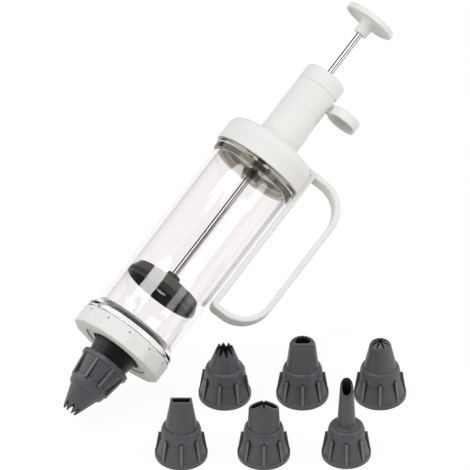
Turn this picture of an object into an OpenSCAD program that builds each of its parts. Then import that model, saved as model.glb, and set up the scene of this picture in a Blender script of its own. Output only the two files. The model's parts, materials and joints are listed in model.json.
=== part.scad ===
// Pastry syringe with a thumb lever, and its set of nozzles.
// The syringe is drawn along its own axis, with height 0 where the ring nut meets the barrel's
// flange and the knob at the top. It is then held leaning over the table that the nozzles stand on.

/* [Barrel] */
// Outside diameter of the clear tube
barrel_od = 56; // [50:0.5:64]
// Wall of the clear tube
barrel_wall = 2.5; // [2:0.1:3.5]
// Length of the tube above the ring nut
barrel_h = 133; // [115:1:170]
// How far the bottom flange stands out from the tube
flange_rim = 3.5; // [3:0.1:5]
// Height of the flange's straight edge
flange_h = 3.2; // [2:0.1:5]
// Height of the flange's bevel
flange_bevel_h = 5; // [3:0.1:8]
// Length of the threaded end inside the ring nut
thread_h = 7.5; // [6:0.1:10]
// How far the threaded end stands out from the tube
thread_rim = 1.6; // [1:0.1:2.2]

/* [Lid] */
// Height of the smoky band under the head
lid_band_h = 6.5; // [5:0.1:9]
// Depth of the socket that the tube's top end sits in
lid_socket_h = 4; // [3:0.1:5]
// Length of the locating ring inside the tube
lid_ring_h = 3.5; // [2:0.1:6]
// Wall of the lid's rings
lid_wall = 2; // [1.5:0.1:2.5]
// Height of the spigot that plugs into the head
lid_spigot_h = 3; // [2:0.1:5]
// Outside diameter of the rod guide
guide_od = 12; // [9:0.5:16]
// Length of the rod guide below the lid's plate
guide_h = 7; // [4:0.5:12]

/* [Head] */
// How far the head's skirt stands out from the tube
skirt_rim = 3.3; // [2.8:0.1:5]
// Height of the head from the skirt's rim to its flat top
head_h = 18.6; // [15:0.1:26]
// Rounding of the head's shoulder
head_round = 7; // [4:0.5:9]
// Thickness of the head's top wall
head_top = 3; // [2:0.1:4]
// Outside diameter of the neck
neck_od = 28; // [26:0.5:32]
// Wall of the neck
neck_wall = 2.2; // [1.8:0.1:2.8]
// Height of the neck above the head
neck_h = 44.7; // [42:0.1:60]
// Fillet where the neck meets the head
neck_fillet = 3; // [1:0.5:5]
// Distance of the ring groove below the neck's top edge
groove_drop = 17; // [12:0.5:24]
// Width and depth of the ring groove
groove = 0.7; // [0.3:0.1:1]

/* [Handle] */
// Width of the handle's window, for the fingers
window_w = 25.1; // [20:0.1:36]
// Length of the handle from the head's top to its lowest face
handle_drop = 108; // [90:1:115]
// Thickness of the handle's band
band_t = 3.8; // [3:0.1:5]
// Width of the handle's band
band_w = 20; // [14:0.5:24]
// Outside radius of the handle's two outer corners
band_corner = 22; // [12:0.5:24]
// Space between the tube and the handle's inner bar
bar_gap = 1; // [0.6:0.1:2]

/* [Cap] */
// Height of the cap
cap_h = 10.7; // [9:0.1:16]
// Wall of the cap
cap_wall = 2.4; // [2:0.1:3]
// Rounding of the cap's top edge
cap_round = 2; // [1:0.1:2.4]
// Bevel of the seam between the cap and the neck
seam = 0.4; // [0.2:0.05:0.6]
// Height of the spigot that plugs into the neck
cap_spigot_h = 2; // [1.5:0.1:3]
// Length of the rod guide inside the cap
cap_guide_h = 4; // [2:0.5:6]

/* [Thumb lever] */
// Travel of the lever when it is pressed down
lever_travel = 20; // [12:0.5:22]
// Height of the lever's carriage and paddle
lever_h = 6.5; // [5.5:0.1:8]
// Reach of the paddle from the axis
paddle_reach = 35; // [32:0.5:42]
// Length of the paddle across the neck
paddle_w = 30; // [24:0.5:36]
// Gap between the paddle and the neck
paddle_gap = 1; // [0.6:0.1:2]
// Wall of the hollow paddle
paddle_wall = 1.8; // [1.2:0.1:2.5]
// Bevel of the paddle's top edge
paddle_bevel = 1.2; // [0.4:0.1:1.6]
// Width of the stem that runs in the neck's slot
stem_w = 8.4; // [6:0.1:11]
// Thickness of the steel plate that grips the rod
plate_t = 1.5; // [1:0.1:2]
// Diameter of the plate
plate_d = 18; // [16:0.1:19]
// Wire of the return spring
wire_d = 1.2; // [0.8:0.1:1.4]
// Mean diameter of the return spring
spring_d = 14; // [11:0.1:15]
// Turns of the return spring
spring_turns = 9; // [6:1:9]

/* [Plunger] */
// Diameter of the rod
rod_d = 4; // [3:0.1:5]
// Height of the piston's lower edge in the tube, as photographed
piston_z = 33; // [25:0.5:60]
// Distance the plunger can still be pushed in
push = 29; // [10:0.5:29]
// Height of the piston's side
piston_h = 9.6; // [8:0.1:13]
// How far the piston's side draws in towards its top
piston_taper = 2.7; // [1.5:0.1:4]
// Rise of the piston's dome
piston_dome = 3; // [1:0.1:5]
// Wall of the piston
piston_wall = 2; // [1.5:0.1:2.6]
// Diameter of the piston's hub
piston_hub_d = 11; // [9:0.1:14]
// Height of the hub above the dome
piston_hub_h = 3; // [1:0.1:6]
// Height of the piston's soft seal
seal_h = 2.8; // [2:0.1:3.5]
// Depth of the groove that holds the seal
seal_depth = 1.2; // [0.8:0.1:1.6]
// Height of the nut under the piston's hub
rod_nut_h = 3; // [2:0.1:4]
// Width across the corners of that nut
rod_nut_d = 8; // [6.5:0.1:9]
// Gap between the knob's hub and the cap with the plunger fully pushed in
knob_stop = 4.5; // [1:0.5:12]
// Diameter of the knob
knob_d = 34.2; // [28:0.1:42]
// Height of the knob's rim
knob_rim_h = 3; // [2:0.1:5]
// Rise of the knob's domed top
knob_dome = 1.6; // [0.5:0.1:4]
// Wall of the knob
knob_wall = 1.6; // [1.2:0.1:2.2]
// Length of the knob's hub below the rim
knob_hub_h = 9; // [6:0.1:14]
// Diameter of the hub's lower end
knob_hub_d = 9; // [7.5:0.1:11]
// Flare of the hub's radius towards the knob
knob_flare = 2; // [0.5:0.1:4]

/* [Ring nut and spout] */
// Wall of the ring nut round the thread
nut_wall = 2.3; // [2.1:0.1:4]
// Panels round the ring nut
nut_panels = 12; // [10:1:12]
// Flat of each panel, as a cut below the round
nut_panel_cut = 0.7; // [0.4:0.1:0.9]
// Thickness of the nut's floor
nut_floor = 1.8; // [1.4:0.1:3]
// Width of the rim round the recess in the nut's floor
nut_lip = 7.6; // [5:0.1:9]
// Depth of that recess, with the spout's hole in its middle
nut_recess = 0.9; // [0.5:0.1:0.9]
// Thickness of the spout's plate
plate_h = 2; // [1.5:0.1:3]
// Thickness of the gasket under the tube's end
gasket_t = 1.2; // [0.8:0.1:2]
// Height of the spout's spigot inside the tube's threaded end
spigot_h = 6; // [3:0.1:7]
// Wall of the spigot
spigot_wall = 2; // [1.5:0.1:2.5]
// Diameter of the spout where it leaves the plate
spout_d = 30.8; // [29:0.1:33]
// Diameter of the spout's shoulder under the nozzle
spout_shoulder_d = 27.2; // [26.6:0.1:28.5]
// Length of the spout down to that shoulder
spout_h = 10.7; // [9:0.1:15]
// Diameter of the spout's bore
spout_bore_d = 20.8; // [16:0.1:21.5]

/* [Nozzles] */
// Diameter of the socket that fits over the spout
socket_d = 25.6; // [25:0.1:26.2]
// Depth of the socket
socket_h = 10; // [8:0.1:12]
// Diameter of a nozzle's collar
collar_d = 33; // [32.6:0.1:36]
// Height of the collar
collar_h = 3.4; // [2.5:0.1:4.5]
// Diameter of the ribbed body at the collar
body_d = 31.2; // [30:0.1:32]
// Diameter of the ribbed body at its top
body_top_d = 26.6; // [26:0.1:28]
// Height of a nozzle's ribbed body and collar
body_h = 17.8; // [16:0.1:21]
// Height at which the shoulder ends and the tip begins
shoulder_h = 23.4; // [22:0.1:27]
// Diameter where the shoulder ends
shoulder_d = 20.4; // [19:0.1:22]
// Ribs round the body
rib_count = 8; // [6:2:12]
// Width of a rib
rib_w = 1.8; // [1:0.1:2.2]
// How far a rib stands out
rib_t = 0.9; // [0.4:0.1:1]
// Wall of the nozzles
tip_wall = 1.4; // [1:0.1:1.8]
// Height of the star nozzles
star_h = 38.6; // [36:0.1:46]
// Diameter of the star nozzles' mouth
star_d = 9.6; // [8:0.1:12]
// Teeth of the mounted star nozzle
star_teeth = 8; // [5:1:9]
// Teeth of the spare star nozzle
wide_star_teeth = 9; // [6:1:10]
// Depth of the star's notches
star_notch = 4.6; // [3:0.1:6]
// Height of the half round nozzle
half_h = 41.8; // [38:0.1:46]
// Diameter of the half round nozzle's end
half_d = 16; // [14:0.1:18]
// Rounding of that end
half_round = 2.6; // [1.5:0.1:3]
// Teeth of the half round nozzle
half_teeth = 7; // [5:1:9]
// Height of the closed star nozzle
closed_h = 42.4; // [38:0.1:44]
// Diameter of the closed star's round end
closed_d = 14; // [12:0.1:16]
// Slits of the closed star
closed_slits = 8; // [6:2:10]
// Height of the ribbon nozzle
ribbon_h = 42.8; // [38:0.1:48]
// Width of the ribbon nozzle's mouth
ribbon_w = 13.2; // [12:0.1:18]
// Depth of the ribbon nozzle's mouth
ribbon_t = 6; // [5:0.1:8]
// Height of the leaf nozzle
leaf_h = 41; // [38:0.1:46]
// Width of the leaf nozzle's mouth
leaf_w = 18.4; // [16:0.1:19]
// Depth of the leaf nozzle's mouth
leaf_t = 4.8; // [4.4:0.1:8]
// Drop of the leaf nozzle's roof from its ridge to its eaves
leaf_drop = 4.6; // [3:0.1:6]
// Height of the filler nozzle
filler_h = 57.6; // [50:0.1:66]
// Diameter of the filler tube at its foot
filler_d = 11.6; // [10:0.1:13]
// Diameter of the filler tube at its tip
filler_tip_d = 7.8; // [7:0.1:9]
// Length of the filler tip's bevel cut
filler_bevel = 11; // [6:0.5:14]

/* [Layout] */
// Lean of the held syringe above the table
hold_lean = 30; // [25:1:40]
// Turn of the held syringe about its own axis
hold_roll = -56; // [-70:1:-40]
// Height of the syringe's lowest point above the table
hold_clear = 9; // [9:1:40]
// Place of the ring nut along the table
hold_x = -87.5; // [-100:0.5:-70]
// Place of the ring nut across the table
hold_y = 62.4; // [50:0.2:80]
// Turn of the rows of spare nozzles
set_turn = -46; // [-50:1:-40]
// Distance of the middle of the back row from the ring nut, along the rows
set_x = 109.5; // [105:0.5:130]
// Distance of the back row from the ring nut, across the rows
set_y = -5; // [-30:1:-5]
// Spacing of the nozzles in the back row
set_pitch = 48.6; // [40:0.2:60]
// Spacing of the nozzles in the front row
set_front_pitch = 51.4; // [40:0.2:60]
// Spacing of the two rows
set_row = 60; // [44:1:70]
// Shift of the front row
set_shift = -24.5; // [-30:0.5:0]

/* [Clearances] */
// Radial running clearance of the rod in its guides and of the nozzle on the spout
run_gap = 0.05; // [0.02:0.01:0.08]
// Gap between pieces that move past each other
move_gap = 0.3; // [0.2:0.05:0.5]
// Gap between pieces that are fixed together
seat_gap = 0.05; // [0.02:0.01:0.1]

/* [Hidden] */
$fn = 64;
// Small bevel of an edge, overlap of joined solids, end slice of a lofted form, reach of a cut past its face
edge = 0.5;
join = 0.01;
slice = 0.1;
over = 1;

white = "#e9e8e4";
smoke = "#55524e";
clear = [0.9, 0.87, 0.87, 0.35];
slate = "#4b4c50";
black = "#1d1d1f";
steel = "#b9bcc0";

rod_r = rod_d / 2;
guide_r = rod_r + run_gap;
pass_r = rod_r + move_gap;
barrel_r = barrel_od / 2;
bore_r = barrel_r - barrel_wall;
thread_r = barrel_r + thread_rim;
flange_r = barrel_r + flange_rim;

// Heights along the syringe's axis
lid_z = barrel_h + seat_gap - lid_socket_h;
skirt_z = lid_z + lid_band_h;
head_z = skirt_z + head_h;
seat_z = head_z + seat_gap;
neck_z = head_z + neck_h;
cap_z = neck_z + cap_h;
lever_top_z = neck_z - cap_spigot_h - move_gap;
lever_z = lever_top_z - lever_h;
plate_top_z = lever_top_z - lever_h / 2;
plate_z = plate_top_z - plate_t;
knob_hub_z = cap_z + push + knob_stop;
knob_z = knob_hub_z + knob_hub_h;
piston_top_z = piston_z + piston_h;
hub_top_z = piston_top_z + piston_dome + piston_hub_h;
rod_nut_z = piston_z + piston_h / 2 - rod_nut_h;
rod_z = rod_nut_z - edge;
rod_top_z = knob_z;
gasket_z = -thread_h - seat_gap - gasket_t;
spout_plate_z = gasket_z - plate_h;
nut_floor_z = spout_plate_z - seat_gap;
nut_z = nut_floor_z - nut_floor;
shoulder_z = spout_plate_z - spout_h;
nozzle_z = shoulder_z - move_gap;

// Radii that follow from the fits
skirt_r = barrel_r + skirt_rim;
lid_r = skirt_r - move_gap;
lid_spigot_r = barrel_r + lid_wall / 2;
skirt_in_r = lid_spigot_r + seat_gap;
cavity_r = lid_spigot_r - lid_wall;
neck_r = neck_od / 2;
neck_in_r = neck_r - neck_wall;
carriage_r = neck_in_r - move_gap;
bar_x = barrel_r + bar_gap;
handle_reach = bar_x + window_w + 2 * band_t;
piston_r = bore_r - move_gap;
seal_r = bore_r - run_gap;
nut_bore_r = thread_r + move_gap;
nut_r = nut_bore_r + nut_wall;
nut_recess_r = nut_bore_r - nut_lip;
nut_hole_r = spout_d / 2 + 4 * edge;
gasket_r = thread_r - move_gap;
spigot_r = bore_r - move_gap;
socket_r = socket_d / 2;
plug_r = socket_r - run_gap;
plug_h = socket_h - 2 * edge;
slot_z = lever_z - lever_travel - move_gap;
slot_w = stem_w + 2 * move_gap;

// The lowest point of the leaning syringe is the mouth of its nozzle or the rim of its nut
tip_low = (nozzle_z - star_h) * sin(hold_lean) - star_d / 2 * cos(hold_lean);
nut_low = nut_z * sin(hold_lean) - nut_r * cos(hold_lean);
hold_z = hold_clear - min(tip_low, nut_low);

function arc(x, y, r, from, to, steps = 6) =
    [for (i = [0 : steps]) let (a = from + (to - from) * i / steps) [x + r * cos(a), y + r * sin(a)]];

module in_hand() {
    translate([hold_x, hold_y, hold_z]) rotate([0, 90 - hold_lean, 0]) rotate([0, 0, hold_roll]) children();
}

// Column 0 to 2 in row 0 at the back and row 1 at the front
module on_table(column, row) {
    pitch = row == 0 ? set_pitch : set_front_pitch;
    across = set_x + (column - 1) * pitch + row * set_shift;
    along = set_y - row * set_row;
    translate([hold_x, hold_y, 0]) rotate([0, 0, set_turn]) translate([across, along, 0]) children();
}

module ring(outer, inner, z, h) {
    translate([0, 0, z]) difference() {
        cylinder(r = outer, h = h);
        translate([0, 0, -over]) cylinder(r = inner, h = h + 2 * over);
    }
}

// An outline in the plane of the axis and the handle, made as wide as w
module slab(w) {
    rotate([90, 0, 0]) translate([0, 0, -w / 2]) linear_extrude(w) children();
}

module barrel() {
    bevel_z = flange_h + flange_bevel_h;
    color(clear) in_hand() rotate_extrude() polygon([
        [bore_r, -thread_h],
        [thread_r, -thread_h],
        [thread_r, 0],
        [flange_r, 0],
        [flange_r, flange_h],
        [barrel_r, bevel_z],
        [barrel_r, barrel_h],
        [bore_r, barrel_h]]);
}

module lid() {
    plate_low_z = lid_z + lid_socket_h;
    ring_r = bore_r - seat_gap;
    notch_w = band_w + 2 * move_gap;
    color(smoke) in_hand() difference() {
        union() {
            ring(lid_r, barrel_r + seat_gap, lid_z, lid_band_h);
            ring(lid_r, guide_r, plate_low_z, skirt_z - plate_low_z);
            ring(ring_r, ring_r - lid_wall, plate_low_z - lid_ring_h, lid_ring_h + over);
            ring(lid_spigot_r, cavity_r, skirt_z - over, lid_spigot_h + over);
            ring(guide_od / 2, guide_r, plate_low_z - guide_h, guide_h + over);
        }
        translate([bar_x - move_gap, -notch_w / 2, lid_z - over])
            cube([lid_r, notch_w, lid_band_h + over + seat_gap]);
    }
}

// Outside of the head from the skirt's rim to the top of the neck
head_outside = concat(
    [[skirt_r, skirt_z + seat_gap]],
    arc(skirt_r - head_round, head_z - head_round, head_round, 0, 90),
    arc(neck_r + neck_fillet, head_z + neck_fillet, neck_fillet, 270, 180),
    [[neck_r, neck_z]]);

module head() {
    ledge_z = skirt_z + lid_spigot_h + seat_gap;
    roof_z = head_z - head_top;
    color(white) in_hand() difference() {
        rotate_extrude() polygon(concat(
            [[skirt_in_r, skirt_z + seat_gap]],
            head_outside,
            [[neck_in_r, neck_z], [neck_in_r, seat_z], [pass_r, seat_z], [pass_r, roof_z],
             [cavity_r, roof_z], [cavity_r, ledge_z], [skirt_in_r, ledge_z]]));
        translate([0, -slot_w / 2, slot_z]) cube([neck_od, slot_w, neck_z - slot_z + over]);
        ring(neck_r + over, neck_r - groove / 2, neck_z - groove_drop, groove);
    }
}

module handle_outline() {
    low_z = head_z - handle_drop;
    inner_corner = band_corner - band_t;
    difference() {
        polygon(concat(
            [[bar_x, low_z]],
            arc(handle_reach - band_corner, low_z + band_corner, band_corner, 270, 360),
            arc(handle_reach - band_corner, head_z - band_corner, band_corner, 0, 90),
            [[bar_x, head_z]]));
        polygon(concat(
            [[bar_x + band_t, low_z + band_t]],
            arc(handle_reach - band_corner, low_z + band_corner, inner_corner, 270, 360),
            arc(handle_reach - band_corner, head_z - band_corner, inner_corner, 0, 90),
            [[bar_x + band_t, head_z - band_t]]));
    }
}

// The loop, with the root that runs over the head's shoulder
module handle() {
    root_x = skirt_r - head_round;
    color(white) in_hand() difference() {
        union() {
            slab(band_w) handle_outline();
            translate([root_x, -band_w / 2, head_z - band_t]) cube([bar_x + band_t - root_x, band_w, band_t]);
        }
        rotate_extrude() polygon(concat([[0, skirt_z + seat_gap]], head_outside, [[0, neck_z]]));
    }
}

module top_cap() {
    spigot_out = neck_in_r - seat_gap;
    roof_z = cap_z - cap_wall;
    color(white) in_hand() rotate_extrude() polygon(concat(
        [[spigot_out - cap_wall / 2, neck_z - cap_spigot_h], [spigot_out, neck_z - cap_spigot_h],
         [spigot_out, neck_z + seat_gap], [neck_r - seam, neck_z + seat_gap], [neck_r, neck_z + seam]],
        arc(neck_r - cap_round, cap_z - cap_round, cap_round, 0, 90),
        [[guide_r, cap_z], [guide_r, roof_z - cap_guide_h], [rod_d, roof_z - cap_guide_h],
         [rod_d, roof_z], [spigot_out - cap_wall / 2, roof_z]]));
}

// Centres of the rings of a wire that winds up round the axis
spring_rings = 8 * spring_turns;
spring_low = seat_z + wire_d / 2 + seat_gap;
spring_high = plate_z - wire_d / 2 - seat_gap;
spring_pitch = (spring_high - spring_low) / spring_turns;
function spring_angle(i) = 360 * i / 8;
function spring_point(i) = [
    spring_d / 2 * cos(spring_angle(i)),
    spring_d / 2 * sin(spring_angle(i)),
    spring_low + (spring_high - spring_low) * i / spring_rings];
function spring_ring(i, sides) = let (p = spring_point(i), a = spring_angle(i))
    [for (s = [0 : sides - 1]) let (b = 360 * s / sides)
        p + wire_d / 2 * [cos(b) * cos(a), cos(b) * sin(a), sin(b)]];
spring_gap = min([for (i = [0 : spring_rings - 8]) norm(spring_point(i + 8) - spring_point(i))]) - wire_d;
echo(spring_gap = spring_gap);

module return_spring() {
    sides = 6;
    last = spring_rings * sides;
    points = [for (i = [0 : spring_rings]) each spring_ring(i, sides)];
    walls = [for (i = [0 : spring_rings - 1], s = [0 : sides - 1])
        let (a = i * sides + s, b = i * sides + (s + 1) % sides)
        each [[a, a + sides, b + sides], [a, b + sides, b]]];
    foot = [for (s = [1 : sides - 2]) [0, s, s + 1]];
    top = [for (s = [1 : sides - 2]) [last, last + s + 1, last + s]];
    color(steel) in_hand() polyhedron(points = points, faces = concat(walls, foot, top));
}

module plunger_rod() {
    color(steel) in_hand() translate([0, 0, rod_z]) cylinder(r = rod_r, h = rod_top_z - rod_z);
}

module knob() {
    knob_r = knob_d / 2;
    rim_z = knob_z + knob_rim_h;
    hub_r = knob_hub_d / 2;
    roof_z = rim_z - knob_wall;
    hole_r = rod_r + seat_gap;
    color(white) in_hand() rotate_extrude() polygon(concat(
        [[hole_r, knob_hub_z], [hub_r, knob_hub_z]],
        arc(hub_r + knob_flare, roof_z - knob_flare, knob_flare, 180, 90),
        [[knob_r - knob_wall - edge, roof_z], [knob_r - knob_wall, knob_z], [knob_r - edge, knob_z],
         [knob_r, knob_z + edge]],
        arc(knob_r - knob_wall, rim_z - knob_wall / 2, knob_wall, 0, 90),
        [for (i = [1 : 6]) let (r = (knob_r - knob_wall) * (1 - i / 6))
            [r, rim_z + knob_wall / 2 + knob_dome * (1 - pow(r / (knob_r - knob_wall), 2))]],
        [[0, rod_top_z + seat_gap], [hole_r, rod_top_z + seat_gap]]));
}

module piston() {
    hub_r = piston_hub_d / 2;
    top_r = piston_r - piston_taper;
    nut_seat_z = rod_nut_z + rod_nut_h + seat_gap;
    groove_top_z = piston_z + edge + seal_h;
    groove_r = piston_r - seal_depth;
    hole_r = rod_r + seat_gap;
    color(smoke) in_hand() rotate_extrude() polygon([
        [piston_r - seal_depth - piston_wall, piston_z],
        [groove_r, piston_z],
        [groove_r, groove_top_z],
        [piston_r, groove_top_z],
        [top_r + 2 * edge, piston_top_z - 2 * edge],
        [top_r, piston_top_z],
        [hub_r + 2 * edge, piston_top_z + piston_dome],
        [hub_r, piston_top_z + piston_dome + 2 * edge],
        [hub_r - edge, hub_top_z],
        [hole_r, hub_top_z],
        [hole_r, nut_seat_z],
        [hub_r, nut_seat_z],
        [hub_r, piston_top_z + piston_dome - piston_wall],
        [top_r - piston_wall, piston_top_z - piston_wall]]);
}

module piston_seal() {
    inner_r = piston_r - seal_depth + seat_gap;
    low_z = piston_z + edge / 2;
    color(black) in_hand() rotate_extrude() polygon([
        [inner_r, low_z],
        [seal_r - edge, low_z],
        [seal_r, low_z + edge],
        [seal_r, low_z + seal_h / 2],
        [piston_r, low_z + seal_h],
        [inner_r, low_z + seal_h]]);
}

module rod_nut() {
    color(steel) in_hand() translate([0, 0, rod_nut_z]) difference() {
        cylinder(d = rod_nut_d, h = rod_nut_h, $fn = 6);
        translate([0, 0, -over]) cylinder(r = rod_r + seat_gap, h = rod_nut_h + 2 * over);
    }
}

// Two round ends joined by a straight middle, drawn in by inset
module paddle_outline(inset) {
    near_x = neck_r + paddle_gap;
    end_r = (paddle_reach - near_x) / 2;
    end_y = paddle_w / 2 - end_r;
    translate([near_x + end_r, 0]) {
        for (side = [-1, 1]) translate([0, side * end_y]) circle(r = end_r - inset, $fn = 32);
        square([2 * (end_r - inset), 2 * end_y], center = true);
    }
}

module thumb_lever() {
    side_h = lever_h - paddle_bevel;
    color(white) in_hand() translate([0, 0, lever_z]) difference() {
        union() {
            cylinder(r = carriage_r, h = lever_h);
            translate([carriage_r - paddle_wall, -stem_w / 2, 0])
                cube([neck_r + paddle_gap + 2 * paddle_wall - carriage_r, stem_w, lever_h]);
            hull() {
                linear_extrude(side_h) paddle_outline(0);
                linear_extrude(lever_h) paddle_outline(paddle_bevel);
            }
        }
        translate([0, 0, -over]) linear_extrude(lever_h - paddle_wall + over) paddle_outline(paddle_wall);
        translate([0, 0, -over]) cylinder(d = plate_d + 2 * move_gap, h = lever_h / 2 + over);
        translate([0, 0, -over]) cylinder(r = pass_r, h = lever_h + 2 * over);
    }
}

module grip_plate() {
    color(steel) in_hand() ring(plate_d / 2, pass_r, plate_z, plate_t - seat_gap);
}

module spout() {
    bore = spout_bore_d / 2;
    funnel = 3;
    color(black) in_hand() rotate_extrude() polygon([
        [bore, shoulder_z - plug_h],
        [plug_r - edge, shoulder_z - plug_h],
        [plug_r, shoulder_z - plug_h + edge],
        [plug_r, shoulder_z],
        [spout_shoulder_d / 2, shoulder_z],
        [spout_d / 2, spout_plate_z - 2 * edge],
        [spout_d / 2 + 2 * edge, spout_plate_z],
        [gasket_r, spout_plate_z],
        [gasket_r, gasket_z],
        [spigot_r, gasket_z],
        [spigot_r, gasket_z + spigot_h],
        [spigot_r - spigot_wall, gasket_z + spigot_h],
        [spigot_r - spigot_wall, gasket_z],
        [bore + funnel, gasket_z],
        [bore, gasket_z - funnel]]);
}

module gasket() {
    slack = seat_gap / 2;
    color(black) in_hand() ring(gasket_r, spigot_r + seat_gap, gasket_z + slack, gasket_t - slack);
}

module ring_nut() {
    height = -move_gap - nut_z;
    flat_r = (nut_r - nut_panel_cut) / cos(180 / nut_panels);
    notch = 1.2;
    color(white) in_hand() translate([0, 0, nut_z]) difference() {
        intersection() {
            rotate_extrude() polygon([[0, 0], [nut_r - edge, 0], [nut_r, edge], [nut_r, height - edge],
                                      [nut_r - edge, height], [0, height]]);
            cylinder(r = flat_r, h = height, $fn = nut_panels);
        }
        translate([0, 0, nut_floor]) cylinder(r = nut_bore_r, h = height);
        translate([0, 0, -over]) cylinder(r = nut_recess_r, h = nut_recess + over);
        translate([0, 0, -over]) cylinder(r = nut_hole_r, h = nut_floor + 2 * over);
        for (i = [0 : nut_panels - 1]) rotate([0, 0, i * 360 / nut_panels])
            translate([nut_r - notch / 3, -notch / 2, height - 3 * notch]) cube(notch);
    }
}

// Collar, ribbed body and rounded shoulder of every nozzle, its ribs turned by a share of their pitch
module nozzle_base(collar_r, shoulder_r, rib_turn = 0) {
    body_r = collar_r - (collar_d - body_d) / 2;
    top_r = collar_r - (collar_d - body_top_d) / 2;
    round_h = shoulder_h - body_h;
    rotate_extrude() polygon(concat(
        [[0, 0], [collar_r - edge, 0], [collar_r, edge], [collar_r, collar_h - edge],
         [collar_r - edge, collar_h], [body_r, collar_h], [top_r, body_h - rib_w]],
        [for (i = [0 : 6]) let (a = 15 * i)
            [shoulder_r + (top_r - rib_t - shoulder_r) * cos(a), body_h + round_h * sin(a)]],
        [[0, shoulder_h]]));
    intersection() {
        translate([0, 0, collar_h / 2])
            cylinder(r1 = body_r + rib_t, r2 = top_r + rib_t, h = body_h - collar_h / 2);
        for (i = [0 : rib_count / 2 - 1]) rotate([0, 0, (i + rib_turn) * 360 / rib_count])
            translate([-collar_r, -rib_w / 2, 0]) cube([2 * collar_r, rib_w, body_h]);
    }
}

// Socket and the hollow that leads to the tip
module nozzle_hollow(neck_d) {
    translate([0, 0, -over]) cylinder(r = socket_r, h = socket_h + over);
    translate([0, 0, socket_h - join])
        cylinder(r1 = socket_r - tip_wall, r2 = neck_d / 2 - tip_wall, h = shoulder_h - socket_h + 2 * join);
}

module tip_cone(foot_d, mouth_d, h) {
    translate([0, 0, shoulder_h - join]) cylinder(d1 = foot_d, d2 = mouth_d, h = h - shoulder_h + join);
}

// A wedge that cuts one notch outwards from near the axis, pointing down
module notch_cut(h, depth, width, reach) {
    slope = width / depth;
    rotate([90, 0, 90]) translate([0, 0, edge]) linear_extrude(reach)
        polygon([[0, h - depth], [width + slope * over, h + over], [-width - slope * over, h + over]]);
}

module star_shape(teeth, rib_turn) {
    spread = 0.55;
    difference() {
        union() {
            nozzle_base(collar_d / 2, shoulder_d / 2, rib_turn);
            tip_cone(shoulder_d, star_d, star_h);
        }
        nozzle_hollow(shoulder_d);
        tip_cone(shoulder_d - 2 * tip_wall, star_d - 2 * tip_wall, star_h + join);
        for (i = [0 : teeth - 1]) rotate([0, 0, i * 360 / teeth])
            notch_cut(star_h, star_notch, star_d * sin(180 / teeth) * spread, star_d);
    }
}

module star_nozzle() {
    color(slate) in_hand() translate([0, 0, nozzle_z]) rotate([180, 0, 0]) star_shape(star_teeth, 0.5);
}

module wide_star_nozzle() {
    color(slate) on_table(0, 0) star_shape(wide_star_teeth, -0.3);
}

// Half space in front of a plane that leans back from the shoulder to the mouth
module front_cut(foot_y, mouth_y, h) {
    rotate([90, 0, 90]) translate([0, 0, -collar_d / 2]) linear_extrude(collar_d)
        polygon([[foot_y, shoulder_h], [mouth_y, h + over], [-collar_d, h + over], [-collar_d, shoulder_h]]);
}

// Round in plan, with a rounded rim at the mouth
module half_round_tip() {
    rotate_extrude() polygon(concat(
        [[0, shoulder_h - join], [shoulder_d / 2, shoulder_h - join]],
        arc(half_d / 2 - half_round, half_h - half_round, half_round, 0, 90),
        [[0, half_h]]));
}

module half_round_nozzle() {
    foot_y = -shoulder_d / 2 + edge / 2;
    end_y = -1.5;
    mouth_r = half_d / 2 - half_round;
    tooth = 1.1;
    color(slate) on_table(1, 0) difference() {
        union() {
            nozzle_base(collar_d / 2, shoulder_d / 2);
            difference() {
                half_round_tip();
                front_cut(foot_y, end_y, half_h);
            }
        }
        nozzle_hollow(shoulder_d);
        difference() {
            tip_cone(shoulder_d - 2 * tip_wall, 2 * mouth_r, half_h + join);
            front_cut(foot_y + tip_wall, end_y + tip_wall, half_h);
        }
        for (i = [0 : half_teeth - 1]) rotate([0, 0, 180 * (i + 0.5) / half_teeth])
            translate([0, 0, half_h - half_round]) linear_extrude(half_round + over)
                polygon([[mouth_r - tooth, -tooth], [mouth_r + tooth, 0], [mouth_r - tooth, tooth]]);
    }
}

module round_tip(end_d, h) {
    flatness = 0.6;
    round_h = end_d / 2 * flatness;
    rotate_extrude() polygon(concat(
        [[0, shoulder_h - join], [shoulder_d / 2 - (closed_d - end_d) / 2, shoulder_h - join]],
        [for (i = [0 : 6]) let (a = 15 * i) [end_d / 2 * cos(a), h - round_h + round_h * sin(a)]]));
}

module closed_star_nozzle() {
    slit = 0.9;
    slit_h = 5;
    slit_l = closed_d - 2 * tip_wall + slit;
    color(slate) on_table(2, 0) difference() {
        union() {
            nozzle_base(collar_d / 2, shoulder_d / 2);
            round_tip(closed_d, closed_h);
        }
        nozzle_hollow(shoulder_d);
        round_tip(closed_d - 2 * tip_wall, closed_h - tip_wall);
        for (i = [0 : closed_slits / 2 - 1]) rotate([0, 0, i * 360 / closed_slits])
            translate([-slit_l / 2, -slit / 2, closed_h - slit_h]) cube([slit_l, slit, slit_h + over]);
    }
}

// Round at the shoulder, drawn out to a slot w by t at the mouth
module ribbon_form(foot_d, w, t, low, high) {
    hull() {
        translate([0, 0, low]) cylinder(d = foot_d, h = slice, $fn = 32);
        translate([-w / 2, -t / 2, high - slice]) cube([w, t, slice]);
    }
}

module ribbon_nozzle() {
    color(slate) on_table(0, 1) difference() {
        union() {
            nozzle_base(collar_d / 2, shoulder_d / 2);
            ribbon_form(shoulder_d, ribbon_w, ribbon_t, shoulder_h - edge, ribbon_h);
        }
        nozzle_hollow(shoulder_d);
        ribbon_form(shoulder_d - 2 * tip_wall, ribbon_w - 2 * tip_wall, ribbon_t - 2 * tip_wall,
                    shoulder_h - edge - slice, ribbon_h + slice);
    }
}

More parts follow.
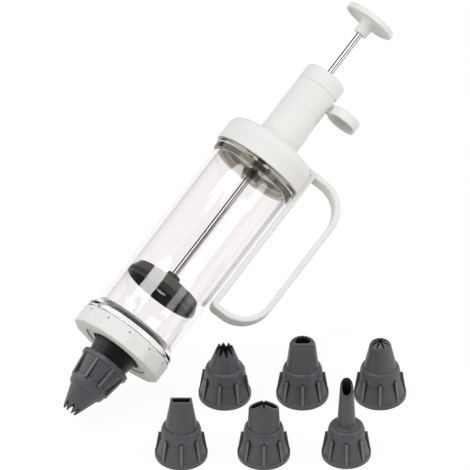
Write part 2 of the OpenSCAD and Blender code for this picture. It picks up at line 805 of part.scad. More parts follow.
// Round at the shoulder, drawn out to a slot w by t with round ends at the mouth
module leaf_form(foot_d, w, t, low, high) {
    hull() {
        translate([0, 0, low]) cylinder(d = foot_d, h = slice, $fn = 32);
        for (side = [-1, 1]) translate([side * (w - t) / 2, 0, high - slice])
            cylinder(d = t, h = slice, $fn = 32);
    }
}

// The space above a roof whose ridge runs from front to back
module above_roof() {
    reach = collar_d / 2;
    eaves_h = leaf_h - leaf_drop * reach / (leaf_w / 2);
    slab(collar_d) polygon([[0, leaf_h], [reach, eaves_h], [reach, leaf_h + over], [-reach, leaf_h + over],
                            [-reach, eaves_h]]);
}

module leaf_nozzle() {
    notch_h = 2.4;
    notch_w = 1.2;
    color(slate) on_table(1, 1) difference() {
        union() {
            nozzle_base(collar_d / 2, shoulder_d / 2);
            leaf_form(shoulder_d, leaf_w, leaf_t, shoulder_h - edge, leaf_h + edge);
        }
        nozzle_hollow(shoulder_d);
        leaf_form(shoulder_d - 2 * tip_wall, leaf_w - 2 * tip_wall, leaf_t - 2 * tip_wall,
                  shoulder_h - edge - slice, leaf_h + edge + slice);
        above_roof();
        for (side = [-90, 90]) rotate([0, 0, side]) notch_cut(leaf_h, notch_h, notch_w, leaf_w);
    }
}

module filler_nozzle() {
    slimmer = 1;
    base_r = collar_d / 2 - slimmer;
    tip_in = filler_tip_d - 2 * tip_wall;
    fillet = 3;
    color(slate) on_table(2, 1) difference() {
        union() {
            nozzle_base(base_r, filler_d / 2 + fillet);
            rotate_extrude() polygon(concat(
                [[0, shoulder_h - over], [filler_d / 2 + fillet, shoulder_h - over]],
                arc(filler_d / 2 + fillet, shoulder_h + fillet, fillet, 270, 180),
                [[filler_tip_d / 2, filler_h], [0, filler_h]]));
        }
        nozzle_hollow(filler_d);
        tip_cone(filler_d - 2 * tip_wall, tip_in, filler_h + join);
        rotate([90, 0, 90]) translate([0, 0, -filler_d]) linear_extrude(2 * filler_d)
            polygon([[filler_tip_d / 2, filler_h + slice],
                     [-filler_tip_d / 2 - over, filler_h - filler_bevel],
                     [-filler_d, filler_h - filler_bevel], [-filler_d, filler_h + over]]);
    }
}

barrel();
lid();
head();
handle();
top_cap();
return_spring();
plunger_rod();
knob();
piston();
piston_seal();
rod_nut();
thumb_lever();
grip_plate();
spout();
gasket();
ring_nut();
star_nozzle();
wide_star_nozzle();
half_round_nozzle();
closed_star_nozzle();
ribbon_nozzle();
leaf_nozzle();
filler_nozzle();
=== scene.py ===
# Pastry syringe and its set of nozzles: the looks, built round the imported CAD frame
import json
import math
from contextlib import contextmanager

import bmesh
import bpy
import numpy as np
from mathutils import Matrix, Vector


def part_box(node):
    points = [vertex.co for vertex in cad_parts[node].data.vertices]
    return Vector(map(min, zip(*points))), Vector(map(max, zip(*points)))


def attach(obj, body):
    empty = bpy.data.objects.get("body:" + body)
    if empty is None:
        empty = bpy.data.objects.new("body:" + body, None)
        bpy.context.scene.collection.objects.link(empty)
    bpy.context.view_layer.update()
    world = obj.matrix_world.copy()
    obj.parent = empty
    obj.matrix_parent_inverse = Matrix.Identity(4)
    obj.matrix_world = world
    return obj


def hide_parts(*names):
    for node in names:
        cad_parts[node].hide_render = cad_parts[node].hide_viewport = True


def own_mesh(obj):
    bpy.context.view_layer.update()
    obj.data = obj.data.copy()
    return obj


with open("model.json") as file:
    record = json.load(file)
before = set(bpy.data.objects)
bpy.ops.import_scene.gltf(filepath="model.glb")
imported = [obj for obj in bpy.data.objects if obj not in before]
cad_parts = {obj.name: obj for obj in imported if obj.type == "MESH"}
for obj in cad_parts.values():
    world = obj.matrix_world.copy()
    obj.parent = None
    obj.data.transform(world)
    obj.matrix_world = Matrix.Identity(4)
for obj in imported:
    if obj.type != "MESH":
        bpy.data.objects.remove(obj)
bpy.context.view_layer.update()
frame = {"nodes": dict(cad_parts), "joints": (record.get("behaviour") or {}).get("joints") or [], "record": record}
print("frame loaded with", len(frame["nodes"]), "nodes")

scene = bpy.context.scene
scene.view_settings.view_transform = "Standard"
fullTurn = 2 * math.pi

# Where the held syringe is: its own x runs to the handle, its z to the knob, and it is drawn in millimetres
joints = {joint["name"]: joint for joint in frame["joints"]}
mounts = {mount["name"]: mount for mount in frame["record"]["mounts"]}
axisUp = -Vector(joints["nut_turn"]["axis"])
toHandle = Vector(mounts["handle_grip"]["axis"])
toBack = axisUp.cross(toHandle)
nutTop = Vector(joints["nut_turn"]["pos_m"])
millimetres = Matrix.Scale(0.001, 4)
holdMatrix = Matrix((toHandle, toBack, axisUp)).transposed().to_4x4()
holdMatrix.translation = nutTop
syringePlace = holdMatrix @ millimetres


def footOf(node):
    low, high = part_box(node)
    return Vector(((low[0] + high[0]) / 2, (low[1] + high[1]) / 2, low[2]))


alongRow = footOf("leaf_nozzle") - footOf("ribbon_nozzle")
rowTurn = math.atan2(alongRow.y, alongRow.x)


def standPlace(node):
    return Matrix.Translation(footOf(node)) @ Matrix.Rotation(rowTurn, 4, "Z") @ millimetres


# Mesh helpers

soft = {"steps": 5, "hold": 0.3, "cutShare": 0.47, "holdShare": 0.49}  # how a profile's corners are rounded
mergeWithin = 1e-5
past = 1  # how far a cutter goes past what it cuts


def addObject(name, data):
    thing = bpy.data.objects.new(name, data)
    scene.collection.objects.link(thing)
    return thing


@contextmanager
def meshWork(mesh):
    work = bmesh.new()
    work.from_mesh(mesh)
    yield work
    work.to_mesh(mesh)
    work.free()


def addPiece(name, verts, faces):
    mesh = bpy.data.meshes.new(name)
    mesh.from_pydata([tuple(v) for v in verts], [], faces)
    with meshWork(mesh) as work:
        bmesh.ops.remove_doubles(work, verts=work.verts, dist=mergeWithin)
        bmesh.ops.dissolve_degenerate(work, edges=work.edges, dist=mergeWithin)
        bmesh.ops.recalc_face_normals(work, faces=work.faces)
    return addObject(name, mesh)


def softProfile(corners, steps=soft["steps"], closed=True):
    # each corner is (radius, height) or (radius, height, rounding)
    points = []
    count = len(corners)
    for i, corner in enumerate(corners):
        here = np.array(corner[:2], float)
        rounding = corner[2] if len(corner) > 2 else 0
        atEnd = not closed and i in (0, count - 1)
        if rounding <= 0 or atEnd:
            points.append(tuple(here))
            continue
        back = np.array(corners[i - 1][:2], float) - here
        ahead = np.array(corners[(i + 1) % count][:2], float) - here
        backLength, aheadLength = np.linalg.norm(back), np.linalg.norm(ahead)
        back, ahead = back / backLength, ahead / aheadLength
        opening = math.acos(max(-1, min(1, float(back @ ahead))))
        cut = min(rounding / math.tan(opening / 2), soft["cutShare"] * min(backLength, aheadLength))
        bend = cut * math.tan(opening / 2)
        centre = here + (back + ahead) / np.linalg.norm(back + ahead) * bend / math.sin(opening / 2)
        start, end = here + back * cut - centre, here + ahead * cut - centre
        sweep = math.atan2(start[0] * end[1] - start[1] * end[0], float(start @ end))
        points.append(tuple(here + back * min(cut + soft["hold"], soft["holdShare"] * backLength)))
        for j in range(steps + 1):
            c, s = math.cos(sweep * j / steps), math.sin(sweep * j / steps)
            points.append((centre[0] + c * start[0] - s * start[1], centre[1] + s * start[0] + c * start[1]))
        points.append(tuple(here + ahead * min(cut + soft["hold"], soft["holdShare"] * aheadLength)))
    return points


def cornerArcs(halfX, halfY, bend, steps):
    # outline of a rectangle with rounded corners
    points = []
    for sideX, sideY, first in ((1, 1, 0), (-1, 1, 90), (-1, -1, 180), (1, -1, 270)):
        for j in range(steps + 1):
            a = math.radians(first + 90 * j / steps)
            x, y = sideX * (halfX - bend), sideY * (halfY - bend)
            points.append((x + bend * math.cos(a), y + bend * math.sin(a)))
    return points


def evenAngles(columns):
    return [fullTurn * i / columns for i in range(columns)]


def roundRow(radius, z, angles):
    return [(radius * math.cos(a), radius * math.sin(a), z) for a in angles]


def skinRows(name, rows, closed=True):
    # rows of equally many points, each row a closed ring round the axis
    columns = len(rows[0])
    faces = []
    for i in range(len(rows) if closed else len(rows) - 1):
        j = (i + 1) % len(rows)
        for a in range(columns):
            b = (a + 1) % columns
            faces.append((i * columns + a, i * columns + b, j * columns + b, j * columns + a))
    return addPiece(name, np.concatenate([np.asarray(row, float) for row in rows]), faces)


def lathe(name, corners, columns=128, steps=soft["steps"], solid=False, shape=None, extraAngles=()):
    # a solid's profile starts and ends on the axis, and any other is closed
    angles = sorted([*evenAngles(columns), *extraAngles])
    rows = []
    for r, z in softProfile(corners, steps, not solid):
        radii = [shape(r, z, a) if shape else r for a in angles]
        rows.append([(radius * math.cos(a), radius * math.sin(a), z) for radius, a in zip(radii, angles)])
    return skinRows(name, rows, not solid)


def softBox(name, low, high, bevel, segments=3):
    mesh = bpy.data.meshes.new(name)
    with meshWork(mesh) as work:
        bmesh.ops.create_cube(work, size=1)
        bmesh.ops.scale(work, vec=[h - l for l, h in zip(low, high)], verts=work.verts)
        bmesh.ops.translate(work, vec=[(h + l) / 2 for l, h in zip(low, high)], verts=work.verts)
        if bevel:
            bmesh.ops.bevel(work, geom=work.edges[:], offset=bevel, segments=segments, affect="EDGES",
                            profile=0.5)
    return addObject(name, mesh)


def extrude(name, outline, low, high, along="x"):
    # an outline drawn out along x, where it is in (y, z), or along z, where it is in (x, y)
    count = len(outline)
    verts = [(end, *point) if along == "x" else (*point, end) for end in (low, high) for point in outline]
    faces = [tuple(range(count)), tuple(range(2 * count - 1, count - 1, -1))]
    faces += [(i, (i + 1) % count, (i + 1) % count + count, i + count) for i in range(count)]
    return addPiece(name, verts, faces)


def turned(piece, angle):
    piece.data.transform(Matrix.Rotation(angle, 4, "Z"))
    return piece


def plainMesh(piece):
    bpy.context.view_layer.update()
    ready = piece.evaluated_get(bpy.context.evaluated_depsgraph_get())
    mesh = bpy.data.meshes.new_from_object(ready)
    piece.modifiers.clear()
    old = piece.data
    piece.data = mesh
    mesh.name = piece.name
    bpy.data.meshes.remove(old)
    return piece


def discard(piece):
    mesh = piece.data
    bpy.data.objects.remove(piece)
    bpy.data.meshes.remove(mesh)


def combine(base, others, operation):
    for other in others:
        step = base.modifiers.new(operation.lower(), "BOOLEAN")
        step.operation = operation
        step.object = other
        step.solver = "MANIFOLD"
        plainMesh(base)
        discard(other)
    return base


def cutAway(base, *others):
    return combine(base, others, "DIFFERENCE")


def joinTo(base, *others):
    return combine(base, others, "UNION")


# Node helpers, for geometry and for finishes

def setInputs(node, inputs):
    # an input is a plain value, or another node's output to link
    for socket, value in inputs.items():
        if isinstance(value, bpy.types.NodeSocket):
            node.id_data.links.new(value, node.inputs[socket])
        else:
            node.inputs[socket].default_value = value


def addNode(tree, kind, inputs=None, **settings):
    node = tree.nodes.new(kind)
    for name, value in settings.items():
        setattr(node, name, value)
    setInputs(node, inputs or {})
    return node.outputs


def addMath(tree, operation, *values, clamp=False):
    return addNode(tree, "ShaderNodeMath", dict(enumerate(values)), operation=operation, use_clamp=clamp)[0]


def newTree(kind, name, inputs, outputs):
    tree = bpy.data.node_groups.new(name, kind)
    for side, sockets in (("INPUT", inputs), ("OUTPUT", outputs)):
        for label, socketKind in sockets.items():
            tree.interface.new_socket(label, in_out=side, socket_type="NodeSocket" + socketKind)
    return tree, addNode(tree, "NodeGroupInput")


# Geometry Nodes: copies of a shape round the axis, and a wire that winds up it

wireFaces = {"along": 40, "round": 12}  # along each turn, and round the wire


def newShapeTree(name, inputs):
    return newTree("GeometryNodeTree", name, {"Geometry": "Geometry", **inputs}, {"Geometry": "Geometry"})


def endShapeTree(tree, shape, finish):
    real = addNode(tree, "GeometryNodeRealizeInstances", {0: shape})[0]
    done = addNode(tree, "GeometryNodeSetMaterial", {"Geometry": real, "Material": finish})[0]
    addNode(tree, "NodeGroupOutput", {0: done})
    return tree


def makeRoundTree():
    tree, source = newShapeTree("roundTheAxis", {
        "Shape": "Object", "Count": "Int", "First angle": "Float", "Finish": "Material"})
    points = addNode(tree, "GeometryNodePoints", {"Count": source["Count"]})[0]
    shape = addNode(tree, "GeometryNodeObjectInfo", {"Object": source["Shape"]})["Geometry"]
    index = addNode(tree, "GeometryNodeInputIndex")[0]
    step = addMath(tree, "DIVIDE", fullTurn, source["Count"])
    angle = addMath(tree, "MULTIPLY_ADD", index, step, source["First angle"])
    turn = addNode(tree, "ShaderNodeCombineXYZ", {"Z": angle})[0]
    copies = addNode(tree, "GeometryNodeInstanceOnPoints", {
        "Points": points, "Instance": shape, "Rotation": turn})
    return endShapeTree(tree, copies[0], source["Finish"])


def makeCoilTree():
    tree, source = newShapeTree("woundWire", {
        "Turns": "Float", "Radius": "Float", "Rise": "Float", "Wire radius": "Float", "Foot": "Float",
        "Finish": "Material"})
    coil = addNode(tree, "GeometryNodeCurveSpiral", {
        "Resolution": wireFaces["along"], "Rotations": source["Turns"], "Start Radius": source["Radius"],
        "End Radius": source["Radius"], "Height": source["Rise"]})[0]
    circle = addNode(tree, "GeometryNodeCurvePrimitiveCircle", {
        "Resolution": wireFaces["round"], "Radius": source["Wire radius"]})[0]
    wire = addNode(tree, "GeometryNodeCurveToMesh", {
        "Curve": coil, "Profile Curve": circle, "Fill Caps": True})[0]
    lift = addNode(tree, "ShaderNodeCombineXYZ", {"Z": source["Foot"]})[0]
    move = addNode(tree, "GeometryNodeTransform", {"Geometry": wire, "Translation": lift})[0]
    return endShapeTree(tree, move, source["Finish"])


roundTree = makeRoundTree()
coilTree = makeCoilTree()


def growPiece(name, tree, values):
    piece = addObject(name, bpy.data.meshes.new(name))
    nodes = piece.modifiers.new(tree.name, "NODES")
    nodes.node_group = tree
    for item in tree.interface.items_tree:
        if item.in_out == "INPUT" and item.name in values:
            nodes[item.identifier] = values[item.name]
    return plainMesh(piece)


def roundTheAxis(name, shape, count, firstAngle, finish):
    piece = growPiece(name, roundTree, {
        "Shape": shape, "Count": count, "First angle": firstAngle, "Finish": finish})
    discard(shape)
    return piece


# Shader node groups: moulded grain, handling marks, and painted shade in the corners with a painted highlight on
# ridges

markLines = {"stretch": (1, 1, 0.06), "from": 0.6, "to": 0.72, "patchesPerMetre": 25}
openFrom = 0.92  # share of open sky above which a corner has no shade


def makeMouldedGrain():
    group, source = newTree("ShaderNodeTree", "mouldedGrain", {
        "grainPerMetre": "Float", "flowPerMetre": "Float", "rough": "Float", "roughSpread": "Float"}, {
        "height": "Float", "flow": "Float", "rough": "Float"})
    place = addNode(group, "ShaderNodeTexCoord")["Object"]
    grain = addNode(group, "ShaderNodeTexNoise", {
        "Vector": place, "Scale": source["grainPerMetre"], "Detail": 3})["Fac"]
    flow = addNode(group, "ShaderNodeTexNoise", {
        "Vector": place, "Scale": source["flowPerMetre"], "Detail": 2})["Fac"]
    spread = addMath(group, "SUBTRACT", flow, 0.5)
    rough = addMath(group, "MULTIPLY_ADD", spread, source["roughSpread"], source["rough"], clamp=True)
    addNode(group, "NodeGroupOutput", {"height": grain, "flow": flow, "rough": rough})
    return group


def makeHandlingMarks():
    # marks that run along the syringe, in patches
    group, source = newTree("ShaderNodeTree", "handlingMarks", {
        "marksPerMetre": "Float", "marksAmount": "Float"}, {"mask": "Float"})
    place = addNode(group, "ShaderNodeTexCoord")["Object"]
    upright = addNode(group, "ShaderNodeMapping", {
        "Vector": place, "Rotation": holdMatrix.to_3x3().inverted().to_euler()})[0]
    drawn = addNode(group, "ShaderNodeMapping", {"Vector": upright, "Scale": markLines["stretch"]})[0]
    lines = addNode(group, "ShaderNodeTexNoise", {
        "Vector": drawn, "Scale": source["marksPerMetre"], "Detail": 4})["Fac"]
    patches = addNode(group, "ShaderNodeTexNoise", {
        "Vector": place, "Scale": markLines["patchesPerMetre"]})["Fac"]
    sharp = addNode(group, "ShaderNodeMapRange", {
        "Value": lines, "From Min": markLines["from"], "From Max": markLines["to"]})[0]
    mask = addMath(group, "MULTIPLY", addMath(group, "MULTIPLY", sharp, patches), source["marksAmount"])
    addNode(group, "NodeGroupOutput", {"mask": mask})
    return group


def makeCornerShade():
    # colour with painted shade in corners and hollows, a painted highlight on ridges, and tone that changes with
    # the flow
    group, source = newTree("ShaderNodeTree", "cornerShade", {
        "color": "Color", "corner": "Color", "edge": "Color", "reach": "Float", "darkBelow": "Float",
        "flow": "Float", "flowDepth": "Float", "inside": "Float", "ridge": "Float"}, {"color": "Color"})
    # painted shade: the colour goes to the corner colour where the surface's own shape hides the sky
    sky = addNode(group, "ShaderNodeAmbientOcclusion", {"Distance": source["reach"]},
                  samples=8, only_local=True)
    exposed = addNode(group, "ShaderNodeMapRange", {
        "Value": sky["AO"], "From Min": source["darkBelow"], "From Max": openFrom})[0]
    outside = addMath(group, "MULTIPLY", exposed, addMath(group, "SUBTRACT", 1, source["inside"]))
    # painted highlight: ridge faces go pale towards the edge colour
    paintedRidgeHighlight = addNode(group, "ShaderNodeMix", {
        "Factor": source["ridge"], "A": source["color"], "B": source["edge"]}, data_type="RGBA")["Result"]
    blend = addNode(group, "ShaderNodeMix", {
        "Factor": outside, "A": source["corner"], "B": paintedRidgeHighlight}, data_type="RGBA")["Result"]
    tone = addMath(group, "SUBTRACT", source["flow"], 0.5)
    gain = addMath(group, "MULTIPLY_ADD", tone, source["flowDepth"], 1)
    shade = addNode(group, "ShaderNodeVectorMath", {0: blend, "Scale": gain}, operation="SCALE")[0]
    addNode(group, "NodeGroupOutput", {"color": shade})
    return group


mouldedGrain = makeMouldedGrain()
handlingMarks = makeHandlingMarks()
cornerShade = makeCornerShade()

# Finishes

insideMatte = 0.45  # how much rougher hollows are
reliefDepth = {"plastic": 0.0002, "steel": 0.0001}


def newFinish(name):
    finish = bpy.data.materials.new(name)
    finish.use_nodes = True
    return finish, finish.node_tree, finish.node_tree.nodes["Principled BSDF"]


def placeGroup(tree, group, look, **links):
    # a group's inputs have the names of a look's entries
    node = tree.nodes.new("ShaderNodeGroup")
    node.node_tree = group
    values = {socket.name: look[socket.name] for socket in node.inputs if socket.name in look}
    setInputs(node, {**values, **links})
    return node.outputs


def addRelief(tree, height, strength, depth):
    return addNode(tree, "ShaderNodeBump", {"Strength": strength, "Distance": depth, "Height": height})[0]


def mouldedPlastic(name, look):
    finish, tree, shader = newFinish(name)
    # the inside attribute marks hollow faces for painted shade, and the ridge attribute marks rib faces for a
    # painted highlight
    inside = addNode(tree, "ShaderNodeAttribute", attribute_name="inside")["Fac"]
    ridge = addNode(tree, "ShaderNodeAttribute", attribute_name="ridge")["Fac"]
    grain = placeGroup(tree, mouldedGrain, look)
    marks = placeGroup(tree, handlingMarks, look)["mask"]
    shade = placeGroup(tree, cornerShade, look, flow=grain["flow"], inside=inside, ridge=ridge)["color"]
    rough = addMath(tree, "ADD", grain["rough"], marks)
    setInputs(shader, {
        "Base Color": shade, "Roughness": addMath(tree, "MULTIPLY_ADD", inside, insideMatte, rough),
        "Normal": addRelief(tree, grain["height"], look["bump"], reliefDepth["plastic"]),
        "IOR": look["ior"], "Specular IOR Level": look["specular"]})
    return finish


# each look's corner colour is painted shade for corners and hollows
whitePlastic = mouldedPlastic("white_satin_plastic", {
    "color": (0.835, 0.832, 0.818, 1), "corner": (0.62, 0.595, 0.53, 1), "darkBelow": 0.1, "reach": 0.009,
    "flowDepth": 0.03, "grainPerMetre": 2600, "flowPerMetre": 45, "rough": 0.46, "roughSpread": 0.12,
    "marksPerMetre": 420, "marksAmount": 0.12, "bump": 0.05, "ior": 1.48, "specular": 0.06})
# slate: the near-black corner colour is painted shade inside the tips, and the edge colour is a painted highlight
# on the ribs
slatePlastic = mouldedPlastic("slate_satin_plastic", {
    "color": (0.082, 0.085, 0.0925, 1), "corner": (0.003, 0.003, 0.0035, 1), "edge": (0.15, 0.153, 0.16, 1),
    "darkBelow": 0.4, "reach": 0.012, "flowDepth": 0.16, "grainPerMetre": 3200, "flowPerMetre": 90,
    "rough": 0.42, "roughSpread": 0.16, "marksPerMetre": 500, "marksAmount": 0.15, "bump": 0.12,
    "ior": 1.48, "specular": 0.5})
blackPlastic = mouldedPlastic("black_gloss_plastic", {
    "color": (0.014, 0.014, 0.016, 1), "corner": (0.005, 0.005, 0.006, 1), "darkBelow": 0.2, "reach": 0.003,
    "flowDepth": 0.2, "grainPerMetre": 1800, "flowPerMetre": 60, "rough": 0.32, "roughSpread": 0.1,
    "marksPerMetre": 380, "marksAmount": 0.2, "bump": 0.03, "ior": 1.5, "specular": 0.22})
blackRubber = mouldedPlastic("black_soft_rubber", {
    "color": (0.03, 0.0285, 0.027, 1), "corner": (0.004, 0.004, 0.004, 1), "darkBelow": 0.2, "reach": 0.002,
    "flowDepth": 0.2, "grainPerMetre": 4200, "flowPerMetre": 120, "rough": 0.42, "roughSpread": 0.2,
    "marksPerMetre": 600, "marksAmount": 0.1, "bump": 0.12, "ior": 1.5, "specular": 0.4})
# piston: the near-black corner colour is painted shade in the cup's hollow
pistonPlastic = mouldedPlastic("smoky_deep_plastic", {
    "color": (0.075, 0.07, 0.064, 1), "corner": (0.008, 0.0075, 0.007, 1), "darkBelow": 0.4, "reach": 0.012,
    "flowDepth": 0.18, "grainPerMetre": 1500, "flowPerMetre": 70, "rough": 0.14, "roughSpread": 0.08,
    "marksPerMetre": 400, "marksAmount": 0.1, "bump": 0.02, "ior": 1.5, "specular": 0.35})


def seeThroughPlastic(name, look):
    finish, tree, shader = newFinish(name)
    grain = placeGroup(tree, mouldedGrain, look)
    setInputs(shader, {
        "Base Color": look["color"], "Transmission Weight": 1, "IOR": look["ior"],
        "Specular IOR Level": look["specular"], "Roughness": grain["rough"],
        "Normal": addRelief(tree, grain["flow"], look["bump"], reliefDepth["plastic"])})
    return finish


clearPlastic = seeThroughPlastic("clear_tube_plastic", {
    "color": (1.0, 0.986, 0.983, 1), "rough": 0.01, "roughSpread": 0.02, "flowPerMetre": 22, "bump": 0.003,
    "ior": 1.49, "specular": 0.5})
smokyPlastic = seeThroughPlastic("smoky_lid_plastic", {
    "color": (0.56, 0.535, 0.475, 1), "rough": 0.03, "roughSpread": 0.03, "flowPerMetre": 40, "bump": 0.04,
    "ior": 1.47, "specular": 0.5})


def drawnSteel(name, look):
    finish, tree, shader = newFinish(name)
    grain = placeGroup(tree, mouldedGrain, look)
    marks = placeGroup(tree, handlingMarks, look)["mask"]
    setInputs(shader, {
        "Base Color": look["color"], "Metallic": 1, "Roughness": addMath(tree, "ADD", grain["rough"], marks),
        "Normal": addRelief(tree, marks, look["bump"], reliefDepth["steel"])})
    return finish


polishedSteel = drawnSteel("polished_rod_steel", {
    "color": (0.52, 0.515, 0.51, 1), "rough": 0.05, "roughSpread": 0.04, "flowPerMetre": 80,
    "marksPerMetre": 900, "marksAmount": 0.12, "bump": 0.05})
springSteel = drawnSteel("bright_spring_steel", {
    "color": (0.3, 0.3, 0.305, 1), "rough": 0.36, "roughSpread": 0.12, "flowPerMetre": 140,
    "marksPerMetre": 1200, "marksAmount": 0.2, "bump": 0.1})
print("materials made")


def dress(piece, finish, body, slot, *nodes, place=syringePlace, sharp=32):
    piece.data.transform(place)
    piece.data.shade_smooth()
    piece.data.set_sharp_from_angle(angle=math.radians(sharp))
    piece.data.materials.clear()
    piece.data.materials.append(finish)
    piece.modifiers.new("evenShade", "WEIGHTED_NORMAL").keep_sharp = True
    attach(piece, body)
    if nodes:
        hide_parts(*nodes)


def outward(point):
    return Vector((point.x, point.y, 0)).normalized()


def markFaces(piece, label, valueOf):
    mask = piece.data.attributes.new(label, "FLOAT", "FACE")
    mask.data.foreach_set("value", [valueOf(face.center, face.normal) for face in piece.data.polygons])


# Barrel: clear tube with its flange and threaded end

barrel = {"outside": 28, "bore": 25.5, "height": 133, "flange": 31.5, "flangeEdge": 3.2, "bevelTop": 8.2,
          "root": 29.3, "foot": -7.5}
thread = {"pitch": 4, "wire": 0.35, "sunk": 0.1, "margin": 1}


def makeBarrel(outside, bore, height, flange, flangeEdge, bevelTop, root, foot):
    tube = lathe("barrel_tube", [
        (bore, foot, 0.5), (root, foot, 0.4), (root, 0, 0.3), (flange, 0, 0.5), (flange, flangeEdge, 0.8),
        (outside, bevelTop, 1.2), (outside, height, 0.6), (bore, height, 0.6)], columns=192)
    dress(tube, clearPlastic, "syringe", "clear_plastic", "barrel")
    tube.visible_shadow = False  # light comes through to what is inside and behind
    tube.visible_diffuse = False


def makeThread(pitch, wire, sunk, margin):
    rise = -barrel["foot"] - 2 * margin
    piece = growPiece("barrel_thread", coilTree, {
        "Turns": rise / pitch, "Radius": barrel["root"] - sunk, "Rise": rise, "Wire radius": wire,
        "Foot": barrel["foot"] + margin, "Finish": clearPlastic})
    dress(piece, clearPlastic, "syringe", "clear_plastic")


makeBarrel(**barrel)
makeThread(**thread)

# Lid: smoky band with the rod guide, notched for the handle's bar

lid = {"band": 30.3, "bandFoot": 29.3, "low": 129.05, "top": 135.55, "socket": 28.05, "plateLow": 133.05,
       "ring": 25.45, "ringWall": 2, "ringLow": 129.55, "spigot": 29, "spigotWall": 2, "spigotTop": 138.5,
       "guide": 6, "guideLow": 126.05, "rodHole": 2.05, "notchX": 28.7, "notchHalf": 10.3, "notchEdge": 0.004,
       "notchSlack": 0.01, "notchOver": 0.1}


def makeLid(band, bandFoot, low, top, socket, plateLow, ring, ringWall, ringLow, spigot, spigotWall,
            spigotTop, guide, guideLow, rodHole, notchX, notchHalf, notchEdge, notchSlack, notchOver):
    def notched(r, z, a):
        x, y = r * math.cos(a), r * math.sin(a)
        cut = x > notchX and abs(y) <= notchHalf + notchSlack and z < top + notchOver
        return notchX / math.cos(a) if cut else r

    ringIn, spigotIn = ring - ringWall, spigot - spigotWall
    edge = math.asin(notchHalf / band)
    edges = [side % fullTurn for angle in (edge, edge + notchEdge) for side in (angle, -angle)]
    piece = lathe("smoky_lid", [
        (rodHole, guideLow, 0.2), (guide, guideLow, 0.6), (guide, plateLow, 0.8), (ringIn, plateLow, 0.6),
        (ringIn, ringLow, 0.4), (ring, ringLow, 0.4), (ring, plateLow, 0.2), (socket, plateLow, 0.2),
        (socket, low, 0.3), (bandFoot, low, 0.5), (band, top, 0.4), (spigot, top, 0.2),
        (spigot, spigotTop, 0.4), (spigotIn, spigotTop, 0.4), (spigotIn, top, 0.3), (rodHole, top, 0.2)],
        columns=160, shape=notched, extraAngles=edges)
    dress(piece, smokyPlastic, "syringe", "smoky_plastic", "lid")


makeLid(**lid)

# Head with its neck, and the loop handle

head = {"skirt": 31.3, "skirtIn": 29.05, "low": 135.6, "top": 154.15, "shoulder": 7, "neck": 14,
        "neckIn": 11.8, "neckTop": 198.85, "fillet": 3.4, "seat": 154.2, "roof": 151.15, "cavity": 27,
        "ledge": 138.65, "rodHole": 2.3, "seam": 0.45, "ringHalf": 0.5, "ringFlat": 0.2,
        "rings": ((174.6, 0.1), (181.85, 0.22), (189.4, 0.1)),  # height and depth of each line round the neck
        "slotHalf": 4.5, "slotLow": 169.75, "slotTop": 205, "slotOut": 20}
handle = {"bar": 30.9, "reach": 59.8, "low": 48.05, "top": 152.2, "corner": 20.1, "tightCorner": 2.2,
          "half": 1.9, "wide": 10, "edge": 1.1, "rootFrom": 23.5, "rootOver": 4, "rootEdge": 0.9}
loopFaces = {"corner": 20, "tightCorner": 8, "longRun": 6, "hold": 0.6}
headInside = {"low": 100, "wall": 1, "slopeOut": 5.5, "slopeDown": 5}  # where the handle's root stays out


def loopPath(bar, reach, low, top, corner, tightCorner):
    # middle line of the band, as (x, z, outward x, outward z)
    path = []
    bends = ((reach, low, corner, -90), (reach, top, corner, 0), (bar, top, tightCorner, 90),
             (bar, low, tightCorner, 180))
    for x, z, bend, first in bends:
        steps = loopFaces["corner"] if bend == corner else loopFaces["tightCorner"]
        middleX = x + bend if x == bar else x - bend
        middleZ = z + bend if z == low else z - bend
        for j in range(steps + 1):
            a = math.radians(first + 90 * j / steps)
            outX, outZ = math.cos(a), math.sin(a)
            path.append((middleX + bend * outX, middleZ + bend * outZ, outX, outZ))
    full = []  # with extra points along the straight runs
    for i, (x, z, outX, outZ) in enumerate(path):
        full.append((x, z, outX, outZ))
        nextX, nextZ = path[(i + 1) % len(path)][:2]
        run = math.hypot(nextX - x, nextZ - z)
        if run > loopFaces["longRun"]:
            hold = loopFaces["hold"] / run
            for share in (hold, 0.25, 0.5, 0.75, 1 - hold):
                full.append((x + (nextX - x) * share, z + (nextZ - z) * share, outX, outZ))
    return full


def makeLoop(bar, reach, low, top, corner, tightCorner, half, wide, edge, rootFrom, rootOver, rootEdge):
    section = cornerArcs(half, wide, edge, 5)
    path = loopPath(bar, reach, low, top, corner, tightCorner)
    loop = skinRows("handle_loop", [[(x + s * outX, y, z + s * outZ) for s, y in section]
                                    for x, z, outX, outZ in path])
    root = softBox("handle_root", (rootFrom, -wide, top - half), (bar + rootOver, wide, top + half), rootEdge)
    return joinTo(loop, root)


